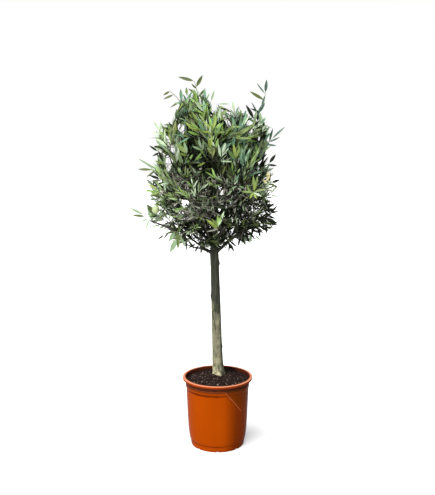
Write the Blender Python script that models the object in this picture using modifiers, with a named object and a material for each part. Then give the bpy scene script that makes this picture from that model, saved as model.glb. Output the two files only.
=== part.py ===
"""A young olive on a clear stem, with a round leafy crown, growing in a plastic nursery pot.

Metres, +Z up. The origin is the centre of the pot's flat underside, +X is to the viewer's
right, and the viewer stands at -Y. Nothing on the plant moves.
"""

import math
import random

import bmesh
import bpy
import numpy as np
from mathutils import Matrix, Vector
from mathutils.bvhtree import BVHTree

OBJECT_NAME = "potted_olive"
UP = Vector((0.0, 0.0, 1.0))

GAP = 0.0003                 # clearance between pieces that touch
WELD = 0.00001               # distance at which doubled vertices are joined

# Pot: a turned plastic shell with an overhanging lip
POT_HEIGHT = 0.250
LIP_RADIUS = 0.125
LIP_HEIGHT = 0.0082
LIP_ROUNDING = 0.0014
MOUTH_RADIUS = 0.1136
NECK_RADIUS = 0.1126
NECK_BOTTOM = 0.2290
COLLAR_RADIUS = 0.1146
COLLAR_BOTTOM = 0.2155
COLLAR_GROOVE = 0.2105
COLLAR_GROOVE_RADIUS = 0.1118
BODY_OUTLINE = ((0.1121, 0.2055), (0.1078, 0.100), (0.1050, 0.056), (0.1016, 0.030), (0.0992, 0.0225))
FOOT_GROOVE = 0.0190
FOOT_GROOVE_RADIUS = 0.0962
FOOT_TOP = 0.0160
FOOT_TOP_RADIUS = 0.0975
FOOT_RADIUS = 0.0950
WALL = 0.0022
POT_SIDES = 36

# Underside: a standing ring and a standing disc, with a drain channel between them
STANDING_RING_INNER = 0.0885
CHANNEL_DEPTH = 0.0050
STANDING_DISC_RADIUS = 0.0450
FLOOR_HEIGHT = 0.0080
DRAIN_COUNT = 8
DRAIN_WIDTH = 0.0120
DRAIN_START = math.radians(-45.0)
DRAIN_OVERRUN = 0.012        # how much longer a notch is than the ring is wide
DRAIN_RISE = 0.9             # top of a notch, as a share of the channel's depth

# Soil: low mound of moist potting mix, just under the lip
MOUND_HEIGHT = 0.2460
MOUND_RADIUS = 0.0720
MOUND_SHOULDER = 0.016
SOIL_EDGE_HEIGHT = 0.2370

# Trunk: a clear stem that leans a little to the left and towards the viewer
TRUNK_FOOT = MOUND_HEIGHT + GAP
TRUNK_TOP = 0.800
TRUNK_FORK = 0.690
TRUNK_RADIUS = 0.0155
TRUNK_SWELL = 0.0065         # extra radius at the foot, and the height over which it fades
TRUNK_SWELL_HEIGHT = 0.120
FLARE = 0.0042               # root flare in lobes
FLARE_HEIGHT = 0.013
FLARE_LOBES = 5
FLARE_TURN = 0.7
FLARE_SIDE = 0.4             # the side on which the lobes stand out most, in radians
TRUNK_TIP_SHARE = 0.62       # radius at the tip, as a share of the radius at the fork
TRUNK_FOOT_X = 0.0060
TRUNK_LEAN_X = -0.028        # metres sideways for each metre up
TRUNK_LEAN_START = 0.308
TRUNK_BEND_HEIGHT = 0.030
TRUNK_FOOT_Y = 0.034
TRUNK_SIDES = 14
TRUNK_LEVELS = (0.0, 0.006, 0.015, 0.032, 0.062, 0.11, 0.17, 0.23, 0.29, 0.35, 0.41, 0.45, 0.49, 0.52)

# Crown: outline as radii at heights, about a vertical axis
CROWN_X = -0.020
CROWN_Y = 0.0
CROWN_OUTLINE = (
    (0.708, 0.030), (0.745, 0.130), (0.800, 0.196), (0.850, 0.214), (0.950, 0.212),
    (1.050, 0.201), (1.110, 0.206), (1.140, 0.188), (1.165, 0.160), (1.235, 0.147), (1.268, 0.075),
)
CROWN_DEPTH_SHARE = 0.95
CROWN_ROUNDNESS = 2.3
TOP_NOTCH = (0.046, 1.262, 0.036)     # x, z and radius of the dip between the two top lobes

# Boughs and foliage masses, numbered from the lowest up in one spiral
MASS_COUNT = 16
GOLDEN_ANGLE = math.radians(137.508)
FIRST_AZIMUTH = math.radians(200.0)
SEED_LOWEST = 0.775
SEED_HIGHEST = 1.205
SEED_SHARE = 0.64
TOP_SEEDS_FROM = 0.8         # above this share of the rise the seeds are drawn in
TOP_SEEDS_PULL = 0.45
BOUGH_LOWEST = 0.696
BOUGH_HIGHEST = 0.768
BOUGH_RADIUS = 0.0066
BOUGH_TIP_RADIUS = 0.0030
BOUGH_SINK = 0.35            # how deep a bough's line starts in the trunk, as a share of its radius
BOUGH_ASIDE = 0.055          # a bough first runs this far aside
BOUGH_RISE_SHARE = 0.30
BOUGH_STEEPEST = 1.15        # rise for each metre aside
LEADER_OVERLAP = 0.003       # the topmost bough starts inside the trunk's tip, and is cut to fit it
LEADER_PULL = 0.12
STEM_OVERREACH = 1.36        # how far past its seed a mass's stem ends, and how far above
STEM_RISE = 0.030
BOUGH_SIDES = 6
BOUGH_POINTS = 6
BOUGH_LEAST_SHARE = 0.34     # a bough runs at least this share of its line before its mass begins
BOUGH_MOST_SHARE = 0.80
MASS_CLEARANCE = 0.0005      # between neighbouring masses
STEM_CLEARANCE = 0.008       # a stem starts this far inside its own space

# Stems, twigs and leaves
STEM_POINTS = 6
STEM_END = 0.97              # share of the bough's line at which the stem ends
STEM_TAPER = 0.8
STEM_BASE = 0.006            # straight run at its root
TWIG_SIDES = 3
TWIG_RADIUS = 0.0028
TWIG_TIP_RADIUS = 0.0017
TWIGS_IN_MASS = 7
TWIG_SHORTEST = 0.03
TWIG_SAMPLES = 12            # places along a twig that are held clear of the limbs
TWIG_EASY_ANGLE = 0.7        # radians from the stem, above which a place costs more
TWIG_ANGLE_COST = 0.05
TWIG_REACH = 0.86            # how far out twigs end, as a share of the crown's outline
TWIG_LEAST_REACH = 0.40
LOW_TWIG_LEAST_REACH = 0.20  # the lowest masses also fill the crown's underside
LOW_MASS_HEIGHT = 0.88
TWIG_TOP_MARGIN = 0.030
TWIG_WALL_MARGIN = 0.012
CLOUD_POINTS = 350           # places weighed up for a mass's twig ends
CLOUD_HALF_SIDE = 0.16
LEAF_LENGTH = 0.092
LEAF_WIDTH = 0.0280
LEAF_THICKNESS = 0.0020
LEAF_WIDEST = 0.40
LEAF_SPACING = 0.0210
LEAFLESS_SHARE = 0.20         # bare part of a twig, from its root
TIP_TO_FIRST_PAIR = 0.012
TIP_LEAF_SINK = 0.004
LEAF_SINK = 0.0003           # how far a leaf's root goes past the middle of its twig
LEAF_SPREAD = 0.018          # least distance between the middles of two leaves
LEAF_TRIES = 9
LEAF_ROOT_ALLOWANCE = 0.016  # stretch at its root over which a leaf may meet its own twig
LEAVES_IN_MASS = 27
LIMB_CLEARANCE = 0.0012
LEAF_SAMPLES = 8             # places along a leaf that are held clear of the limbs
TIP_OVERRUN = 1.045          # leaf tips may pass the crown's outline by this share
TOP_OVERRUN = 0.010
LEAF_SLANT = (0.55, 1.10)    # radians from its twig
LEAF_WOBBLE = 0.35
LEAF_SIZES = (0.86, 1.06)
LEAF_SHRINK = 0.95           # each further try is with a leaf this much smaller
LEAF_FACES_FROM = (0.86, 1.06)    # heights on the crown's axis that leaves face away from
LEAF_FACES_UP = 0.03

# Shoots that stand out of the crown: where the twig ends, and the tips of its leaves
SHOOTS = (
    ((-0.083, 0.015, 1.236), ((-0.128, 0.022, 1.303), (-0.063, 0.012, 1.311))),
    ((-0.133, 0.012, 1.190), ((-0.181, 0.010, 1.246),)),
    ((0.138, -0.022, 1.226), ((0.166, -0.024, 1.294), (0.112, -0.030, 1.281))),
    ((0.150, -0.045, 1.078), ((0.222, -0.050, 1.128), (0.207, -0.062, 1.096))),
    ((-0.200, -0.030, 0.974), ((-0.265, -0.036, 1.018), (-0.276, -0.024, 0.989))),
    ((-0.215, -0.075, 0.825), ((-0.300, -0.100, 0.838), (-0.287, -0.112, 0.812))),
    ((-0.150, -0.055, 0.752), ((-0.178, -0.062, 0.706),)),
)
LOW_LEAF_COLOUR = (0.079, 0.124, 0.056)
TOP_LEAF_COLOUR = (0.126, 0.198, 0.090)
FRUIT_PLACE = (-0.214, -0.090, 0.845)
FRUIT_RADIUS = 0.0150
FRUIT_ROOM = 1.1             # leaves keep out of this much of the fruit's radius
STALK_RADIUS = 0.0012
STALK_SHARE = 0.6            # how far along its twig the stalk leaves it

RANDOM_SEED = 20


def clear_scene():
    for item in list(bpy.data.objects):
        bpy.data.objects.remove(item, do_unlink=True)


def new_collection(name):
    collection = bpy.data.collections.new(name)
    bpy.context.scene.collection.children.link(collection)
    return collection


def principled(name, colour, roughness):
    material = bpy.data.materials.new(name)
    material.use_nodes = True
    shader = material.node_tree.nodes["Principled BSDF"]
    shader.inputs["Base Color"].default_value = (*colour, 1.0)
    shader.inputs["Roughness"].default_value = roughness
    shader.inputs["Metallic"].default_value = 0.0
    return material


def mesh_object(name, mesh, collection):
    item = bpy.data.objects.new(name, mesh)
    collection.objects.link(item)
    return item


def evaluated_mesh(item):
    graph = bpy.context.evaluated_depsgraph_get()
    return bpy.data.meshes.new_from_object(item.evaluated_get(graph))


def remove_object(item):
    bpy.data.objects.remove(item, do_unlink=True)


def shade(item, degrees=35.0):
    item.data.shade_smooth()
    item.data.set_sharp_from_angle(angle=math.radians(degrees))


# Turned shapes and tubes

def turned(name, profile, sides, collection):
    """Turns a closed profile, given as (radius, height) down its outer side, about the Z axis."""
    mesh = bpy.data.meshes.new(name)
    points = [(radius, 0.0, height) for radius, height in profile]
    edges = [(index, index + 1) for index in range(len(points) - 1)]
    mesh.from_pydata(points, edges, [])
    item = mesh_object(name, mesh, collection)
    screw = item.modifiers.new("turn", 'SCREW')
    screw.axis = 'Z'
    screw.angle = math.tau
    screw.steps = sides
    screw.render_steps = sides
    screw.use_merge_vertices = True
    screw.merge_threshold = WELD
    screw.use_smooth_shade = True
    return item


def section(sides, collection):
    """A unit polygon that a limb's curve is swept with."""
    curve = bpy.data.curves.new(f"section_{sides}", 'CURVE')
    curve.dimensions = '2D'
    spline = curve.splines.new('POLY')
    spline.points.add(sides - 1)
    for index, point in enumerate(spline.points):
        angle = math.tau * index / sides
        point.co = (math.cos(angle), math.sin(angle), 0.0, 1.0)
    spline.use_cyclic_u = True
    item = mesh_object(curve.name, curve, collection)
    item.hide_render = True
    item.display_type = 'WIRE'
    return item


def limb_curve(name, points, radii, outline, collection):
    """A tapered limb as a curve with a radius at each of its points."""
    curve = bpy.data.curves.new(name, 'CURVE')
    curve.dimensions = '3D'
    curve.bevel_mode = 'OBJECT'
    curve.bevel_object = outline
    curve.use_fill_caps = True
    spline = curve.splines.new('POLY')
    spline.points.add(len(points) - 1)
    for point, place, radius in zip(spline.points, points, radii):
        point.co = (*place, 1.0)
        point.radius = radius
    return mesh_object(name, curve, collection)


def limb_meshes(curves, collection):
    """Turns limb curves into closed meshes, with their caps welded on."""
    graph = bpy.context.evaluated_depsgraph_get()
    limbs = []
    for item in curves:
        mesh = bpy.data.meshes.new_from_object(item.evaluated_get(graph))
        shape = bmesh.new()
        shape.from_mesh(mesh)
        bmesh.ops.remove_doubles(shape, verts=shape.verts, dist=WELD)
        bmesh.ops.recalc_face_normals(shape, faces=shape.faces)
        shape.to_mesh(mesh)
        shape.free()
        name = item.name
        place = item.matrix_world.copy()
        remove_object(item)
        limb = mesh_object(name, mesh, collection)
        limb.matrix_world = place
        limbs.append(limb)
    return limbs


# Pot and soil

def pot_outer_profile():
    """The pot's outer side from the lip's inner edge down to the middle of the underside."""
    lip_bottom = POT_HEIGHT - LIP_HEIGHT
    profile = [
        (MOUTH_RADIUS + LIP_ROUNDING, POT_HEIGHT),
        (LIP_RADIUS - LIP_ROUNDING, POT_HEIGHT),
        (LIP_RADIUS, POT_HEIGHT - LIP_ROUNDING),
        (LIP_RADIUS, lip_bottom + LIP_ROUNDING / 2),
        (LIP_RADIUS - LIP_ROUNDING, lip_bottom),
        (NECK_RADIUS + LIP_ROUNDING, lip_bottom),
        (NECK_RADIUS, lip_bottom - LIP_ROUNDING),
        (NECK_RADIUS, NECK_BOTTOM),
        (COLLAR_RADIUS, NECK_BOTTOM - LIP_ROUNDING),
        (COLLAR_RADIUS - LIP_ROUNDING / 2, COLLAR_BOTTOM),
        (COLLAR_GROOVE_RADIUS, COLLAR_GROOVE),
    ]
    profile += BODY_OUTLINE
    profile += [
        (FOOT_GROOVE_RADIUS, FOOT_GROOVE),
        (FOOT_TOP_RADIUS, FOOT_TOP),
        (FOOT_RADIUS, 0.0),
        (STANDING_RING_INNER, 0.0),
        (STANDING_RING_INNER, CHANNEL_DEPTH),
        (STANDING_DISC_RADIUS + CHANNEL_DEPTH, CHANNEL_DEPTH),
        (STANDING_DISC_RADIUS, 0.0),
        (0.0, 0.0),
    ]
    return profile


def pot_inner_profile():
    """The pot's inner side from the middle of its floor up to the lip."""
    body = [(radius - WALL, height) for radius, height in reversed(BODY_OUTLINE[:-1])]
    return [
        (0.0, FLOOR_HEIGHT),
        (FOOT_RADIUS - WALL, FLOOR_HEIGHT),
        *body,
        (NECK_RADIUS - WALL, NECK_BOTTOM),
        (MOUTH_RADIUS, POT_HEIGHT - LIP_ROUNDING),
    ]


def drain_cutters(collection):
    """Arched notches through the standing ring, out of the drain channel."""
    cutters = []
    length = FOOT_TOP_RADIUS - STANDING_RING_INNER + DRAIN_OVERRUN
    middle = (FOOT_TOP_RADIUS + STANDING_RING_INNER) / 2
    for index in range(DRAIN_COUNT):
        angle = DRAIN_START + math.tau * index / DRAIN_COUNT
        mesh = bpy.data.meshes.new("drain_notch")
        shape = bmesh.new()
        bmesh.ops.create_cone(
            shape, cap_ends=True, segments=8,
            radius1=DRAIN_WIDTH / 2, radius2=DRAIN_WIDTH / 2, depth=length)
        rise = CHANNEL_DEPTH * DRAIN_RISE / (DRAIN_WIDTH / 2)
        bmesh.ops.scale(shape, vec=(rise, 1.0, 1.0), verts=shape.verts)
        shape.to_mesh(mesh)
        shape.free()
        cutter = mesh_object(f"drain_notch_{index}", mesh, collection)
        turn = Matrix.Rotation(angle, 4, 'Z')
        lay = Matrix.Rotation(math.radians(90.0), 4, 'Y')
        cutter.matrix_world = turn @ Matrix.Translation((middle, 0.0, 0.0)) @ lay
        cutter.hide_render = True
        cutter.display_type = 'WIRE'
        cutters.append(cutter)
    return cutters


def make_pot(parts, cutters):
    pot = turned("pot", pot_inner_profile() + pot_outer_profile(), POT_SIDES, parts)
    notches = new_collection("drain_notches")
    cutters.children.link(notches)
    bpy.context.scene.collection.children.unlink(notches)
    drain_cutters(notches)
    cut = pot.modifiers.new("drains", 'BOOLEAN')
    cut.operation = 'DIFFERENCE'
    cut.operand_type = 'COLLECTION'
    cut.collection = notches
    cut.solver = 'EXACT'
    pot.data.materials.append(principled("terracotta_plastic", (0.42, 0.085, 0.012), 0.38))
    return pot


def make_soil(parts):
    inner = [(radius - GAP, height) for radius, height in reversed(pot_inner_profile()[1:-1])]
    inner[-1] = (inner[-1][0], FLOOR_HEIGHT + GAP)
    profile = [
        (0.0, MOUND_HEIGHT),
        (MOUND_RADIUS, MOUND_HEIGHT),
        (MOUND_RADIUS + MOUND_SHOULDER, (MOUND_HEIGHT + SOIL_EDGE_HEIGHT) / 2),
        (NECK_RADIUS - WALL - GAP, SOIL_EDGE_HEIGHT),
        *inner,
        (0.0, FLOOR_HEIGHT + GAP),
    ]
    soil = turned("soil", profile, POT_SIDES, parts)
    soil.data.materials.append(principled("potting_soil", (0.070, 0.038, 0.022), 0.95))
    return soil


# Trunk

def trunk_centre(height):
    bend = math.exp(-(height - TRUNK_FOOT) / TRUNK_BEND_HEIGHT)
    lean = TRUNK_LEAN_X * (height - TRUNK_LEAN_START)
    rise = min(1.0, (height - TRUNK_FOOT) / (TRUNK_FORK - TRUNK_FOOT))
    return Vector((lean + (TRUNK_FOOT_X - TRUNK_LEAN_X * (TRUNK_FOOT - TRUNK_LEAN_START)) * bend,
                   TRUNK_FOOT_Y * (1.0 - rise), height))


def trunk_radius(height):
    swell = TRUNK_SWELL * math.exp(-(height - TRUNK_FOOT) / TRUNK_SWELL_HEIGHT)
    above = min(1.0, max(0.0, (height - TRUNK_FORK) / (TRUNK_TOP - TRUNK_FORK)))
    return (TRUNK_RADIUS + swell) * (1.0 - (1.0 - TRUNK_TIP_SHARE) * above)


def flare_at(angle, height):
    """Extra radius of the root flare, in rounded lobes that fade upwards."""
    lobes = 0.5 + 0.5 * math.cos(FLARE_LOBES * angle + FLARE_TURN) * math.cos(angle - FLARE_SIDE)
    return FLARE * lobes * math.exp(-(height - TRUNK_FOOT) / FLARE_HEIGHT)


def trunk_shape(name, extra, outline, collection):
    """The trunk, or with an extra radius the cutter that fits the boughs to it."""
    heights = [TRUNK_FOOT + level for level in TRUNK_LEVELS] + [TRUNK_TOP + extra]
    points = [trunk_centre(height) for height in heights]
    radii = [trunk_radius(height) + extra for height in heights]
    curve = limb_curve(name, points, radii, outline, collection)
    trunk = limb_meshes([curve], collection)[0]
    for vertex in trunk.data.vertices:
        nearest = min(heights, key=lambda height: abs(height - vertex.co.z))
        centre = trunk_centre(nearest)
        arm = Vector((vertex.co.x - centre.x, vertex.co.y - centre.y, 0.0))
        if arm.length > extra:
            push = flare_at(math.atan2(arm.y, arm.x), nearest)
            vertex.co += arm.normalized() * push
        if nearest == heights[0]:
            vertex.co.z = TRUNK_FOOT
    return trunk


# Crown spaces

def crown_radius(height):
    heights = [level for level, radius in CROWN_OUTLINE]
    radii = [radius for level, radius in CROWN_OUTLINE]
    return float(np.interp(height, heights, radii, left=0.001, right=0.001))


def crown_share(point):
    """How far out a point lies: 0 on the crown's axis and 1 on its outline."""
    radius = crown_radius(point[2])
    across = abs(point[0] - CROWN_X) / radius
    deep = abs(point[1] - CROWN_Y) / (radius * CROWN_DEPTH_SHARE)
    return (across ** CROWN_ROUNDNESS + deep ** CROWN_ROUNDNESS) ** (1.0 / CROWN_ROUNDNESS)


def crown_point(azimuth, height, share):
    """The point at an azimuth and height that lies at a share of the way to the outline."""
    direction = Vector((math.cos(azimuth), math.sin(azimuth), 0.0))
    edge = Vector((CROWN_X, CROWN_Y, height)) + direction * 0.1
    return Vector((CROWN_X, CROWN_Y, height)) + direction * (0.1 * share / crown_share(edge))


def in_notch(point):
    x, z, radius = TOP_NOTCH
    return math.hypot(point[0] - x, point[2] - z) < radius


def mass_seeds():
    """One point for each mass, up the crown in a spiral. The top ones stand nearer the axis."""
    seeds = []
    for index in range(MASS_COUNT):
        rise = index / (MASS_COUNT - 1)
        height = SEED_LOWEST + (SEED_HIGHEST - SEED_LOWEST) * rise
        drawn_in = max(0.0, rise - TOP_SEEDS_FROM) / (1.0 - TOP_SEEDS_FROM)
        share = SEED_SHARE * (1.0 - TOP_SEEDS_PULL * drawn_in)
        seeds.append(crown_point(FIRST_AZIMUTH + GOLDEN_ANGLE * index, height, share))
    return seeds


def space_walls(seeds, index):
    """The flat walls between one mass's space and its neighbours', as (point, outward normal)."""
    walls = []
    for other, seed in enumerate(seeds):
        if other != index:
            outward = (seed - seeds[index]).normalized()
            walls.append(((seed + seeds[index]) / 2, outward))
    return walls


def inside(walls, point, clearance):
    return all((point - middle).dot(outward) < -clearance for middle, outward in walls)


# Limb lines

def bend_point(start, pull, end, share):
    """A point along a quadratic curve."""
    return start * (1 - share) ** 2 + pull * (2 * share * (1 - share)) + end * share ** 2


def limb_line(index, seeds):
    """Start, pull and end of the line that a bough and then its mass's stem follow."""
    azimuth = FIRST_AZIMUTH + GOLDEN_ANGLE * index
    seed = seeds[index]
    axis = Vector((CROWN_X, CROWN_Y, seed.z))
    end = axis + (seed - axis) * STEM_OVERREACH + UP * STEM_RISE
    if index == MASS_COUNT - 1:
        start = trunk_centre(TRUNK_TOP) - UP * LEADER_OVERLAP
        return start, start + UP * LEADER_PULL, end
    height = BOUGH_LOWEST + (BOUGH_HIGHEST - BOUGH_LOWEST) * index / (MASS_COUNT - 2)
    outward = Vector((math.cos(azimuth), math.sin(azimuth), 0.0))
    start = trunk_centre(height) + outward * trunk_radius(height) * BOUGH_SINK
    rise = min(BOUGH_RISE_SHARE * (end.z - start.z), BOUGH_STEEPEST * BOUGH_ASIDE)
    return start, start + outward * BOUGH_ASIDE + UP * rise, end


def mass_start(line, walls):
    """Share of the line at which it is well inside its own space, where the bough ends."""
    share = BOUGH_LEAST_SHARE
    while share < BOUGH_MOST_SHARE and not inside(walls, bend_point(*line, share), STEM_CLEARANCE):
        share += 0.01
    return share


def line_points(line, first, last, count):
    return [bend_point(*line, first + (last - first) * step / (count - 1)) for step in range(count)]


def bough_radii(count, index):
    base = BOUGH_RADIUS if index < MASS_COUNT - 1 else trunk_radius(TRUNK_TOP) - GAP
    return [base + (BOUGH_TIP_RADIUS - base) * step / (count - 1) for step in range(count)]


def make_boughs(parts, cutters, outline, lines, starts):
    trunk_outline = section(TRUNK_SIDES, cutters)
    trunk = trunk_shape("trunk", 0.0, trunk_outline, parts)
    trunk.data.materials.append(principled("olive_bark", (0.195, 0.180, 0.125), 0.85))
    shade(trunk, 60.0)
    cutter = trunk_shape("trunk_clearance", GAP, trunk_outline, cutters)
    cutter.hide_render = True
    cutter.display_type = 'WIRE'
    remove_object(trunk_outline)
    bark = principled("bough_bark", (0.085, 0.090, 0.070), 0.85)
    curves = []
    for index, (line, share) in enumerate(zip(lines, starts)):
        points = line_points(line, 0.0, share, BOUGH_POINTS)
        radii = bough_radii(BOUGH_POINTS, index)
        curves.append(limb_curve(f"bough_{index + 1:02d}", points, radii, outline, parts))
    for bough in limb_meshes(curves, parts):
        bough.data.materials.append(bark)
        cut = bough.modifiers.new("trunk_fit", 'BOOLEAN')
        cut.operation = 'DIFFERENCE'
        cut.object = cutter
        cut.solver = 'EXACT'
        shade(bough, 60.0)
    return trunk


# Foliage masses

def limb_obstacles(lines, starts):
    """Every limb as stretches of line with a radius, for leaves and twigs to keep clear of."""
    ends_a, ends_b, radii = [], [], []
    for index, (line, share) in enumerate(zip(lines, starts)):
        points = line_points(line, 0.0, share, BOUGH_POINTS)
        widths = bough_radii(BOUGH_POINTS, index)
        for step in range(BOUGH_POINTS - 1):
            ends_a.append(points[step])
            ends_b.append(points[step + 1])
            radii.append(widths[step])
    heights = [TRUNK_FORK - 0.06 + 0.02 * step for step in range(9)]
    for low, high in zip(heights, heights[1:]):
        ends_a.append(trunk_centre(low))
        ends_b.append(trunk_centre(high))
        radii.append(trunk_radius(low))
    return np.array(ends_a), np.array(ends_b), np.array(radii)


def limb_distance(obstacles, point):
    """Distance from a point to the nearest limb's surface."""
    ends_a, ends_b, radii = obstacles
    point = np.array(point)
    spans = ends_b - ends_a
    shares = np.clip(np.sum((point - ends_a) * spans, axis=1) / np.sum(spans * spans, axis=1), 0.0, 1.0)
    nearest = ends_a + spans * shares[:, None]
    return float(np.min(np.linalg.norm(nearest - point, axis=1) - radii))


def leaf_mesh():
    """A leaf blank: eight faces, one long along Z, root at 0, widest part nearer the root."""
    mesh = bpy.data.meshes.new("leaf")
    shape = bmesh.new()
    bmesh.ops.create_uvsphere(shape, u_segments=4, v_segments=2, radius=1.0)
    for vertex in shape.verts:
        vertex.co.z = LEAF_WIDEST if abs(vertex.co.z) < 0.5 else (vertex.co.z + 1.0) / 2.0
    shape.to_mesh(mesh)
    shape.free()
    return mesh


def leaf_matrix(root, direction, facing, length, width):
    """Places a leaf blank: root, the way it points, and the way its upper face looks."""
    side = facing.cross(direction).normalized()
    normal = direction.cross(side).normalized()
    columns = (side * width / 2, normal * LEAF_THICKNESS / 2, direction * length)
    matrix = Matrix.Identity(4)
    for column, vector in enumerate(columns):
        for row in range(3):
            matrix[row][column] = vector[row]
    matrix.translation = root
    return matrix


OCTAHEDRON = ((0, 0, -1), (0, 0, 1), (1, 0, 0), (-1, 0, 0), (0, 1, 0), (0, -1, 0))


def leaf_corners(matrix):
    blank = ((0, 0, 0), (0, 0, 1), (1, 0, LEAF_WIDEST), (-1, 0, LEAF_WIDEST), (0, 1, LEAF_WIDEST),
             (0, -1, LEAF_WIDEST))
    return [matrix @ Vector(corner) for corner in blank]


def leaf_surface(corners, skip):
    """A leaf's faces as a search tree, without a stretch at its root."""
    root, tip = corners[:2]
    points = [root.lerp(tip, skip)] + corners[1:]
    faces = [(end, side, top) for end in (0, 1) for side in (2, 3) for top in (4, 5)]
    return BVHTree.FromPolygons(points, faces)


def mesh_surface(mesh):
    """A limb's faces as a search tree."""
    return BVHTree.FromPolygons([vertex.co for vertex in mesh.vertices],
                                [face.vertices for face in mesh.polygons])


class Twig:
    """A three-sided twig: its line, its radii and, once swept, its mesh object."""

    def __init__(self, points, radii):
        self.points = points
        self.radii = radii
        self.solid = None

    def flat_side(self, segment, ahead, turn):
        """The way out through the middle of one of the twig's three flat sides."""
        centre = self.points[segment]
        corners = sorted((vertex.co for vertex in self.solid.data.vertices),
                         key=lambda corner: (corner - centre).length)[:TWIG_SIDES]
        corner = corners[turn % TWIG_SIDES] - centre
        across = corner - ahead * corner.dot(ahead)
        return -across.normalized()


class Mass:
    """One mass of foliage, grown inside its own space."""

    def __init__(self, index, lines, starts, seeds, obstacles):
        self.walls = space_walls(seeds, index)
        self.line = lines[index]
        self.start = starts[index]
        self.seed = seeds[index]
        self.obstacles = obstacles
        self.random = random.Random(RANDOM_SEED * 100 + index)
        self.twigs = []
        self.leaves = []
        self.middles = []
        self.surfaces = []
        self.fruit = []
        self.shoots = []

    def free(self, point, radius):
        """True where a round of this radius stays in the space and off every limb."""
        if not inside(self.walls, point, MASS_CLEARANCE + radius):
            return False
        return limb_distance(self.obstacles, point) > LIMB_CLEARANCE + radius

    def grow_stem(self):
        """The stem goes on along the bough's line, starting a hair's breadth past its tip."""
        run = line_points(self.line, 0.0, self.start, BOUGH_POINTS)
        ahead = (run[-1] - run[-2]).normalized()
        points = line_points(self.line, self.start, STEM_END, STEM_POINTS)
        points[0] = run[-1] + ahead * GAP
        points[1] = (points[1] + points[0] + ahead * (points[1] - points[0]).length) / 2
        shares = [(step / (STEM_POINTS - 1)) ** STEM_TAPER for step in range(STEM_POINTS)]
        radii = [BOUGH_TIP_RADIUS + (TWIG_TIP_RADIUS - BOUGH_TIP_RADIUS) * share for share in shares]
        first = points[0] + ahead * STEM_BASE
        self.stem = [points[0], first] + points[1:]
        self.twigs.append(Twig(self.stem, [radii[0], radii[0]] + radii[1:]))

    def targets(self, count):
        """Spreads the ends of the twigs evenly over the space."""
        chosen = [self.stem[-1]]
        least = LOW_TWIG_LEAST_REACH if self.seed.z < LOW_MASS_HEIGHT else TWIG_LEAST_REACH
        cloud = []
        while len(cloud) < CLOUD_POINTS:
            offset = [self.random.uniform(-CLOUD_HALF_SIDE, CLOUD_HALF_SIDE) for axis in range(3)]
            point = self.seed + Vector(offset)
            share = crown_share(point)
            if least < share < TWIG_REACH and point.z < CROWN_OUTLINE[-1][0] - TWIG_TOP_MARGIN:
                if inside(self.walls, point, TWIG_WALL_MARGIN) and not in_notch(point):
                    cloud.append(point)
        for step in range(count):
            best = max(cloud, key=lambda point: min((point - other).length for other in chosen))
            chosen.append(best)
        return chosen[1:]

    def branch_point(self, target):
        """The place on the stem from which a twig reaches its target at an easy angle."""
        best_cost = None
        for first, second in zip(self.stem[1:-1], self.stem[2:]):
            for share in (0.0, 0.5):
                place = first.lerp(second, share)
                ahead = (second - first).normalized()
                reach = target - place
                sharpness = max(0.0, reach.angle(ahead) - TWIG_EASY_ANGLE)
                cost = reach.length + TWIG_ANGLE_COST * sharpness
                if best_cost is None or cost < best_cost:
                    best_cost = cost
                    found = place
        return found

    def grow_twig(self, target):
        place = self.branch_point(target)
        if (target - place).length < TWIG_SHORTEST:
            return None
        samples = [place.lerp(target, step / TWIG_SAMPLES) for step in range(2, TWIG_SAMPLES + 1)]
        if not all(self.free(point, TWIG_RADIUS) for point in samples):
            return None
        points = [place, target]
        self.twigs.append(Twig(points, [TWIG_RADIUS, TWIG_TIP_RADIUS]))
        return points

    def add_leaf(self, root, direction, facing, length, bounded=True):
        """Adds a leaf where it fits in the space, clear of every limb, twig and other leaf."""
        width = LEAF_WIDTH * (0.4 + 0.6 * length / LEAF_LENGTH)
        matrix = leaf_matrix(root - direction * LEAF_SINK, direction, facing, length, width)
        corners = leaf_corners(matrix)
        if not all(inside(self.walls, corner, MASS_CLEARANCE) for corner in corners):
            return False
        middle = root + direction * length * 0.5
        if bounded:
            if any(crown_share(corner) > TIP_OVERRUN or in_notch(corner) for corner in corners[1:]):
                return False
            if corners[1].z > CROWN_OUTLINE[-1][0] + TOP_OVERRUN:
                return False
            if any((middle - other).length < LEAF_SPREAD for other in self.middles):
                return False
        for step in range(1, LEAF_SAMPLES + 1):
            share = step / LEAF_SAMPLES
            part = min(share / LEAF_WIDEST, (1.0 - share) / (1.0 - LEAF_WIDEST))
            clear = LIMB_CLEARANCE + width / 2 * part
            if limb_distance(self.obstacles, root + direction * length * share) < clear:
                return False
        surface = leaf_surface(corners, LEAF_ROOT_ALLOWANCE / length)
        if any(surface.overlap(other) for other in self.surfaces):
            return False
        self.leaves.append(matrix)
        self.middles.append(middle)
        self.surfaces.append(surface)
        return True

    def outward(self, point):
        """The way out of the crown at a point, which upper leaf faces look towards."""
        low, high = LEAF_FACES_FROM
        centre = Vector((CROWN_X, CROWN_Y, min(max(point.z - LEAF_FACES_UP, low), high)))
        return (point - centre).normalized()

    def try_leaf(self, root, ahead, sideways):
        """Tries a leaf at several slants and sizes until one fits."""
        for attempt in range(LEAF_TRIES):
            opening = self.random.uniform(*LEAF_SLANT)
            direction = ahead * math.cos(opening) + sideways * math.sin(opening)
            wobble = Vector([self.random.uniform(-LEAF_WOBBLE, LEAF_WOBBLE) for axis in range(3)])
            length = LEAF_LENGTH * self.random.uniform(*LEAF_SIZES) * LEAF_SHRINK ** attempt
            if self.add_leaf(root, direction, self.outward(root) + wobble, length):
                return True
        return False

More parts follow.
